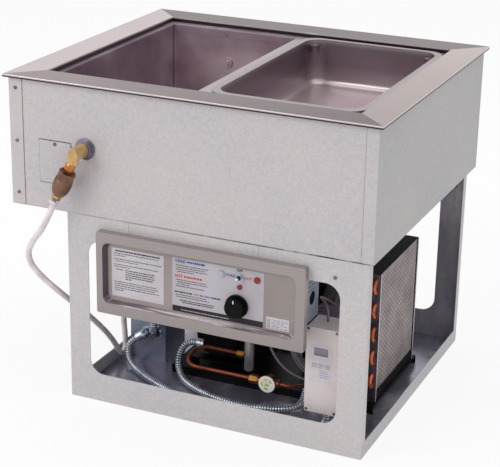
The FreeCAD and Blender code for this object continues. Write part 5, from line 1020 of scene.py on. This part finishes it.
def foam(name, base):
    # fine closed bubbles
    filling = Surface(name)
    bubbles = Value(filling.tree, filling.cells(400.0)["Distance"])
    colour = bubbles.ramp((0.0, [v - 25 for v in base]), (0.6, base))
    return filling.set(colour=colour, roughness=0.9).bump(bubbles, 0.5, 0.001)


def ink(name, colour):
    # printed ink, slightly uneven
    film = Surface(name)
    colour = film.noise(1500.0, 2.0).ramp((0.35, colour), (0.75, [v + 22 for v in colour]))
    return film.set(colour=colour, roughness=0.55, shine=0.2)


panelLook = {
    "fieldFront": -0.3500,
    "bottomAndTop": (0.212, 0.388),
    "topEdgeShadow": 0.380,
    "slopeBelow": 0.26,
    "leftWallReflection": -0.15,
}


def panelSteel(look):
    # brushed panel: plain border, a little darker towards the bottom, a greyer dished field as painted shade and a
    # painted dark reflection on the left wall of the dish
    steel = Surface("panelSteel")
    x, y, z = steel.place
    facing = steel.facing()
    lines = steel.noise((5, 900, 900), 4.0, 0.6)
    field = y > look["fieldFront"]
    border = z.ranged(*look["bottomAndTop"], 0.0, 1.0).ramp((0.0, (150, 142, 141)), (0.12, (154, 146, 144)),
                                                            (1.0, (158, 150, 148)))
    # painted shade: the dished field is greyer than the border
    inner = steel.noise((5, 5, 7)).ramp((0.3, (144, 134, 131)), (0.7, (160, 150, 146)))
    colour = steel.mix(field, border, inner)
    onBorder = 1.0 - field
    # painted light on the border's downward-facing faces
    colour = steel.mix(onBorder * facing[2].between(-0.80, -0.15), colour, (186, 178, 176))
    # painted shadow along the upward faces of the panel's top edge
    topEdgeShadow = onBorder * (facing[2] > 0.30) * (z > look["topEdgeShadow"])
    colour = steel.mix(topEdgeShadow, colour, (70, 64, 76))
    colour = colour.times(lines.ramp((0.3, grey(0.94)), (0.7, grey(1.03))))
    # painted reflection: light and dark streaks on the upward faces low in the dish
    slopeReflection = field * facing[2].between(0.25, 0.98) * (z < look["slopeBelow"])
    band = steel.noise((9, 60, 420), 2.0)
    band = band.ramp((0.35, (112, 94, 108)), (0.50, (158, 144, 150)), (0.62, (226, 218, 220)))
    colour = steel.mix(slopeReflection, colour, band)
    # painted dark reflection on the left wall of the dish
    leftWallReflection = (facing[0] > 0.5) * (x < look["leftWallReflection"])
    colour = steel.mix(leftWallReflection * 0.9, colour, (82, 68, 80))
    return steel.set(colour=colour, roughness=lines.spread(0.30, 0.42), metal=0.55).bump(lines, 0.06, 0.0003)


def plateSheet(name, dark, light):
    # printed aluminium plate
    plate = Surface(name)
    colour = plate.noise((9, 9, 9)).ramp((0.3, dark), (0.7, light))
    return plate.set(colour=colour, roughness=plate.noise((900, 900, 900), 2.0).spread(0.40, 0.52), metal=0.15)


def clearHose():
    hose = Surface("clearHose")
    colour = hose.noise(40.0).ramp((0.3, (206, 194, 199)), (0.7, (232, 223, 227)))
    return hose.set(colour=colour, roughness=hose.noise(500.0, 2.0).spread(0.22, 0.32), scatter=0.25,
                    scatterRadius=(0.006, 0.005, 0.005), coat=0.3)


def conduitSteel():
    # the wound strip has bright crowns, with painted shade darkening each groove
    strip = Surface("conduitSteel")
    source = strip.tree.nodes.new("ShaderNodeUVMap")
    source.uv_map = "along"
    turns = separated(strip.tree, source.outputs["UV"])[1] * (2 * math.pi)
    # painted shade in the grooves between the ribs
    dark = turns.cosine().ranged(0.0, 0.9, 0.0, 0.9)
    slow = strip.noise(30.0)
    body = slow.ramp((0.3, (176, 184, 198)), (0.7, (226, 232, 240)))
    return strip.set(colour=strip.mix(dark, body, (36, 38, 48)), roughness=slow.spread(0.24, 0.36), metal=0.7)


lensLook = {"redFrom": 0.100, "ringsPerMetre": 900.0}


def lensPlastic(look):
    # the cold light is clear, the other two are red
    lens = Surface("pilotLens")
    rings = (lens.place[2] * look["ringsPerMetre"]).fraction()
    red = lens.mix(rings, (110, 8, 12), (150, 22, 26))
    clear = lens.mix(rings, (160, 158, 166), (184, 182, 190))
    return lens.set(colour=lens.mix(lens.place[0] > look["redFrom"], clear, red), roughness=0.25, coat=0.15)


def displayWindow(look):
    # grey liquid crystal with a blue border; round it the window is as pale as the label
    window = Surface("displayWindow")
    x, y, z = window.place
    x0, x1, z0, z1 = look["glass"]
    edge = look["border"]
    outer = x.between(x0 - edge, x1 + edge) * z.between(z0 - edge, z1 + edge)
    inner = x.between(x0, x1) * z.between(z0, z1)
    glass = z.ranged(z0, z1, 0.0, 1.0).ramp((0.0, (112, 106, 120)), (0.4, (136, 130, 140)), (1.0, (146, 140, 148)))
    colour = window.mix(inner, window.mix(outer, (210, 203, 205), (92, 94, 160)), glass)
    return window.set(colour=colour, roughness=0.28)


def dialFace(look):
    # white face with orange and green arcs round a green and yellow middle
    dial = Surface("dialFace")
    across = dial.place[0] - look["middle"][0]
    up = dial.place[2] - look["middle"][1]
    reach = (across * across + up * up).root()
    turn = up.turnFrom(across)
    colour = dial.noise(700.0, 2.0).ramp((0.3, (228, 228, 220)), (0.7, (246, 246, 240)))
    for start, end, paint in look["arcs"]:
        inArc = reach.between(*look["band"]) * turn.between(math.radians(start), math.radians(end))
        colour = dial.mix(inArc, colour, paint)
    bulb = dial.noise(420.0, 2.0).ramp((0.40, (120, 168, 96)), (0.52, (226, 222, 130)), (0.66, (238, 240, 232)))
    return dial.set(colour=dial.mix(reach < look["bulb"], colour, bulb), roughness=0.25, coat=0.5)


glassLook = {"glass": (0.2665, 0.2950, 0.1895, 0.2040), "border": 0.0014}
dialLook = {
    "middle": (0.151, 0.082),
    "band": (0.0088, 0.0120),
    "bulb": 0.0056,
    "arcs": [(75, 130, (236, 160, 74)), (150, 179.9, (240, 176, 96)), (-179.9, -150, (240, 176, 96)),
             (-120, -75, (112, 160, 84)), (20, 62, (122, 176, 104))],
}


# each surface, with the nodes and pieces that wear it
finishes = [
    (rimSteel(rimLook), ["rim_flange"]),
    (linerSteel(linerLook), ["well_liner"]),
    (barSteel(), ["adaptor_bar"]),
    (drawnSteel(), ["food_pan"]),
    (panelSteel(panelLook), ["control_panel"]),
    (housingZinc(seams),
     ["housing_front", "housing_back", "housing_left", "housing_right", "housing_base", "access_cover"]),
    (frameZinc(seams), ["frame_front", "frame_back"]),
    (traySteel(trayLook), ["frame_tray"]),
    (plainZinc("boxZinc", (146, 150, 168), (150, 146, 154), (134, 142, 168), (0.3, 0.46), 0.5),
     ["junction_box", "controller_bracket"]),
    (plainZinc("controlBoxZinc", (150, 160, 174), (152, 156, 164), (140, 152, 174), (0.36, 0.5), 0.3),
     ["control_box"]),
    (endPlateZinc(), ["condenser_plates"]),
    (castMetal("zincPlate", (168, 176, 190), (206, 212, 222), (0.2, 0.36), 0.95, 300.0, 0.12),
     ["conduit_connectors", "toggle_body"]),
    (castMetal("portZinc", (104, 104, 124), (150, 150, 168), (0.26, 0.42), 0.8, 300.0, 0.12), ["port_fitting"]),
    (castMetal("screwZinc", (96, 92, 96), (128, 122, 126), (0.3, 0.45), 0.8, 300.0, 0.12), ["sheet_screws"]),
    (castMetal("clampZinc", (214, 196, 198), (238, 224, 224), (0.24, 0.38), 0.5, 300.0, 0.10), ["hose_clamp"]),
    (castMetal("bandSteel", (122, 106, 110), (156, 140, 144), (0.3, 0.45), 0.8, 260.0, 0.15), [fillPieces["band"]]),
    (castMetal("forgedBrass", (168, 134, 84), (214, 180, 124), (0.42, 0.58), 0.35, 240.0, 0.25),
     [fillPieces["elbow"]]),
    (castMetal("nippleCopper", (146, 84, 42), (206, 138, 76), (0.26, 0.40), 0.8, 200.0, 0.2), [fillPieces["nipple"]]),
    (castMetal("turnedBrass", (190, 140, 68), (232, 190, 112), (0.2, 0.34), 0.8, 260.0, 0.10), [fillPieces["barb"]]),
    (castMetal("fittingBrass", (92, 56, 26), (150, 102, 50), (0.26, 0.4), 0.85, 260.0, 0.15),
     ["check_valve_poppet", "line_fittings"]),
    (castMetal("castBronze", (88, 60, 48), (142, 104, 84), (0.4, 0.56), 0.5, 200.0, 0.8),
     [fillPieces["valve"], fillPieces["collar"]]),
    (castMetal("copperTube", (98, 44, 28), (146, 74, 48), (0.34, 0.48), 0.7, 200.0, 0.12),
     ["evaporator_coil", "copper_lines"]),
    (castMetal("bendCopper", (140, 62, 36), (214, 112, 68), (0.26, 0.4), 0.75, 60.0, 0.12), ["condenser_tubes"]),
    (castMetal("drierSteel", (150, 146, 148), (198, 194, 196), (0.26, 0.4), 0.8, 180.0, 0.12), ["filter_drier"]),
    (castMetal("elementSheath", (72, 66, 64), (98, 90, 86), (0.4, 0.6), 0.8, 260.0, 0.2), ["heating_element"]),
    (finSheet(finPack), [finPiece]),
    (castMetal("fanAluminium", (176, 164, 164), (206, 196, 194), (0.35, 0.5), 0.6, 260.0, 0.1), ["fan_blade"]),
    (blackPaint("blackPaint", (9, 9, 11), (20, 20, 24)),
     ["unit_base", "compressor_shell", "fan_shroud", "fan_motor"]),
    (breakerStrip(), ["breaker_strip"]),
    (foam("insulationFoam", (226, 212, 170)), ["insulation_boards"]),
    (clearHose(), [fillHose]),
    (blackPaint("darkPlastic", (14, 14, 17), (26, 26, 30)), ["fill_valve", "thermostat_body", "contactor"]),
    (plateSheet("overlaySheet", (168, 163, 170), (184, 180, 186)), ["control_overlay"]),
    (plateSheet("plateSheet", (184, 178, 184), (202, 197, 202)), ["instruction_plates"]),
    (castMetal("polishedChrome", (206, 206, 210), (228, 228, 232), (0.08, 0.16), 1.0, 200.0, 0.03), ["toggle_lever"]),
    (blackPaint("knobPlastic", (8, 7, 9), (14, 12, 14), (0.34, 0.5)), ["thermostat_knob"]),
    (ink("pointerWhite", (226, 224, 226)), [knobPointer]),
    (lensPlastic(lensLook), ["pilot_lights"]),
    (moulded("controllerPlastic", (216, 206, 205), (0.35, 0.5), shift=4), ["controller_base", "controller_cover"]),
    (moulded("labelSheet", (208, 201, 203), (0.4, 0.5), shift=3), [labelPanel]),
    (displayWindow(glassLook), ["controller_display"]),
    (moulded("keyPlastic", (198, 192, 196), (0.35, 0.5), shift=3),
     ["controller_key_1", "controller_key_2", "controller_key_3"]),
    (ink("blackInk", (34, 30, 34)), [prints["black"]]),
    (ink("greyInk", (66, 60, 68)), [prints["grey"]]),
    (ink("blueInk", (40, 56, 142)), [prints["blue"]]),
    (ink("paleBlueInk", (98, 128, 188)), [*keyMarks]),
    (ink("redInk", (196, 44, 48)), [prints["red"]]),
    (ink("whiteInk", (186, 184, 188)), [prints["white"]]),
    (conduitSteel(), [*conduits.values()]),
    (dialFace(dialLook), ["sight_glass_dial"]),
    (moulded("cableSheath", (110, 98, 112), (0.4, 0.55)), [sensorCable]),
]
for surface, wearers in finishes:
    for wearer in wearers:
        piece = nodes[wearer] if isinstance(wearer, str) else wearer
        piece.data.materials.clear()
        piece.data.materials.append(surface.material)
print("materials set")


# studio: pale floor, soft lamps and a white surround
studio = {
    "floorSize": 40.0,
    "floorGlow": 0.85,
    "ambient": 0.60,
    "lamps": [
        ("keyLamp", (-2.6, -3.6, 3.4), (0, 0, 0.35), 2.4, 95.0),
        ("fillLamp", (3.8, -1.8, 2.2), (0, 0, 0.35), 2.6, 16.0),
        ("topLamp", (0.2, 0.8, 4.0), (0, 0, 0.4), 4.6, 62.0),
    ],
}


def seenBy(tree, first, *more):
    rays = tree.nodes.new("ShaderNodeLightPath").outputs
    share = Value(tree, rays[first])
    for kind in more:
        share = share.larger(Value(tree, rays[kind]))
    return share


def makeStudio(look):
    mesh = bmesh.new()
    bmesh.ops.create_grid(mesh, x_segments=1, y_segments=1, size=look["floorSize"] / 2)
    data = bpy.data.meshes.new("floor")
    mesh.to_mesh(data)
    mesh.free()
    floor = bpy.data.objects.new("floor", data)
    bpy.context.scene.collection.objects.link(floor)
    paper = Surface("floorPaper").set(colour=(0.93, 0.93, 0.93, 1), roughness=0.9, shine=0.1)
    tree = paper.tree
    glow = tree.nodes.new("ShaderNodeEmission")
    glow.inputs["Color"].default_value = (1, 1, 1, 1)
    glow.inputs["Strength"].default_value = 1.0
    share = seenBy(tree, "Is Camera Ray", "Is Glossy Ray") * look["floorGlow"]
    blend = tree.nodes.new("ShaderNodeMixShader")
    for port, source in zip(blend.inputs, (share.socket, paper.shader.outputs[0], glow.outputs[0])):
        tree.links.new(source, port)
    tree.links.new(blend.outputs[0], tree.nodes["Material Output"].inputs["Surface"])
    data.materials.append(paper.material)
    for name, place, target, size, power in look["lamps"]:
        light = bpy.data.lights.new(name, "AREA")
        light.shape = "SQUARE"
        light.size = size
        light.energy = power
        lamp = bpy.data.objects.new(name, light)
        lamp.location = place
        lamp.rotation_mode = "QUATERNION"
        lamp.rotation_quaternion = (Vector(target) - Vector(place)).to_track_quat("-Z", "Y")
        bpy.context.scene.collection.objects.link(lamp)
    world = bpy.data.worlds.new("surround")
    bpy.context.scene.world = world
    world.use_nodes = True
    tree = world.node_tree
    background = tree.nodes["Background"]
    background.inputs["Color"].default_value = (1, 1, 1, 1)
    seen = seenBy(tree, "Is Camera Ray", "Is Transmission Ray", "Is Glossy Ray")
    tree.links.new(seen.larger(look["ambient"]).socket, background.inputs["Strength"])


makeStudio(studio)
bpy.context.scene.view_settings.view_transform = "Standard"
print("studio lit")
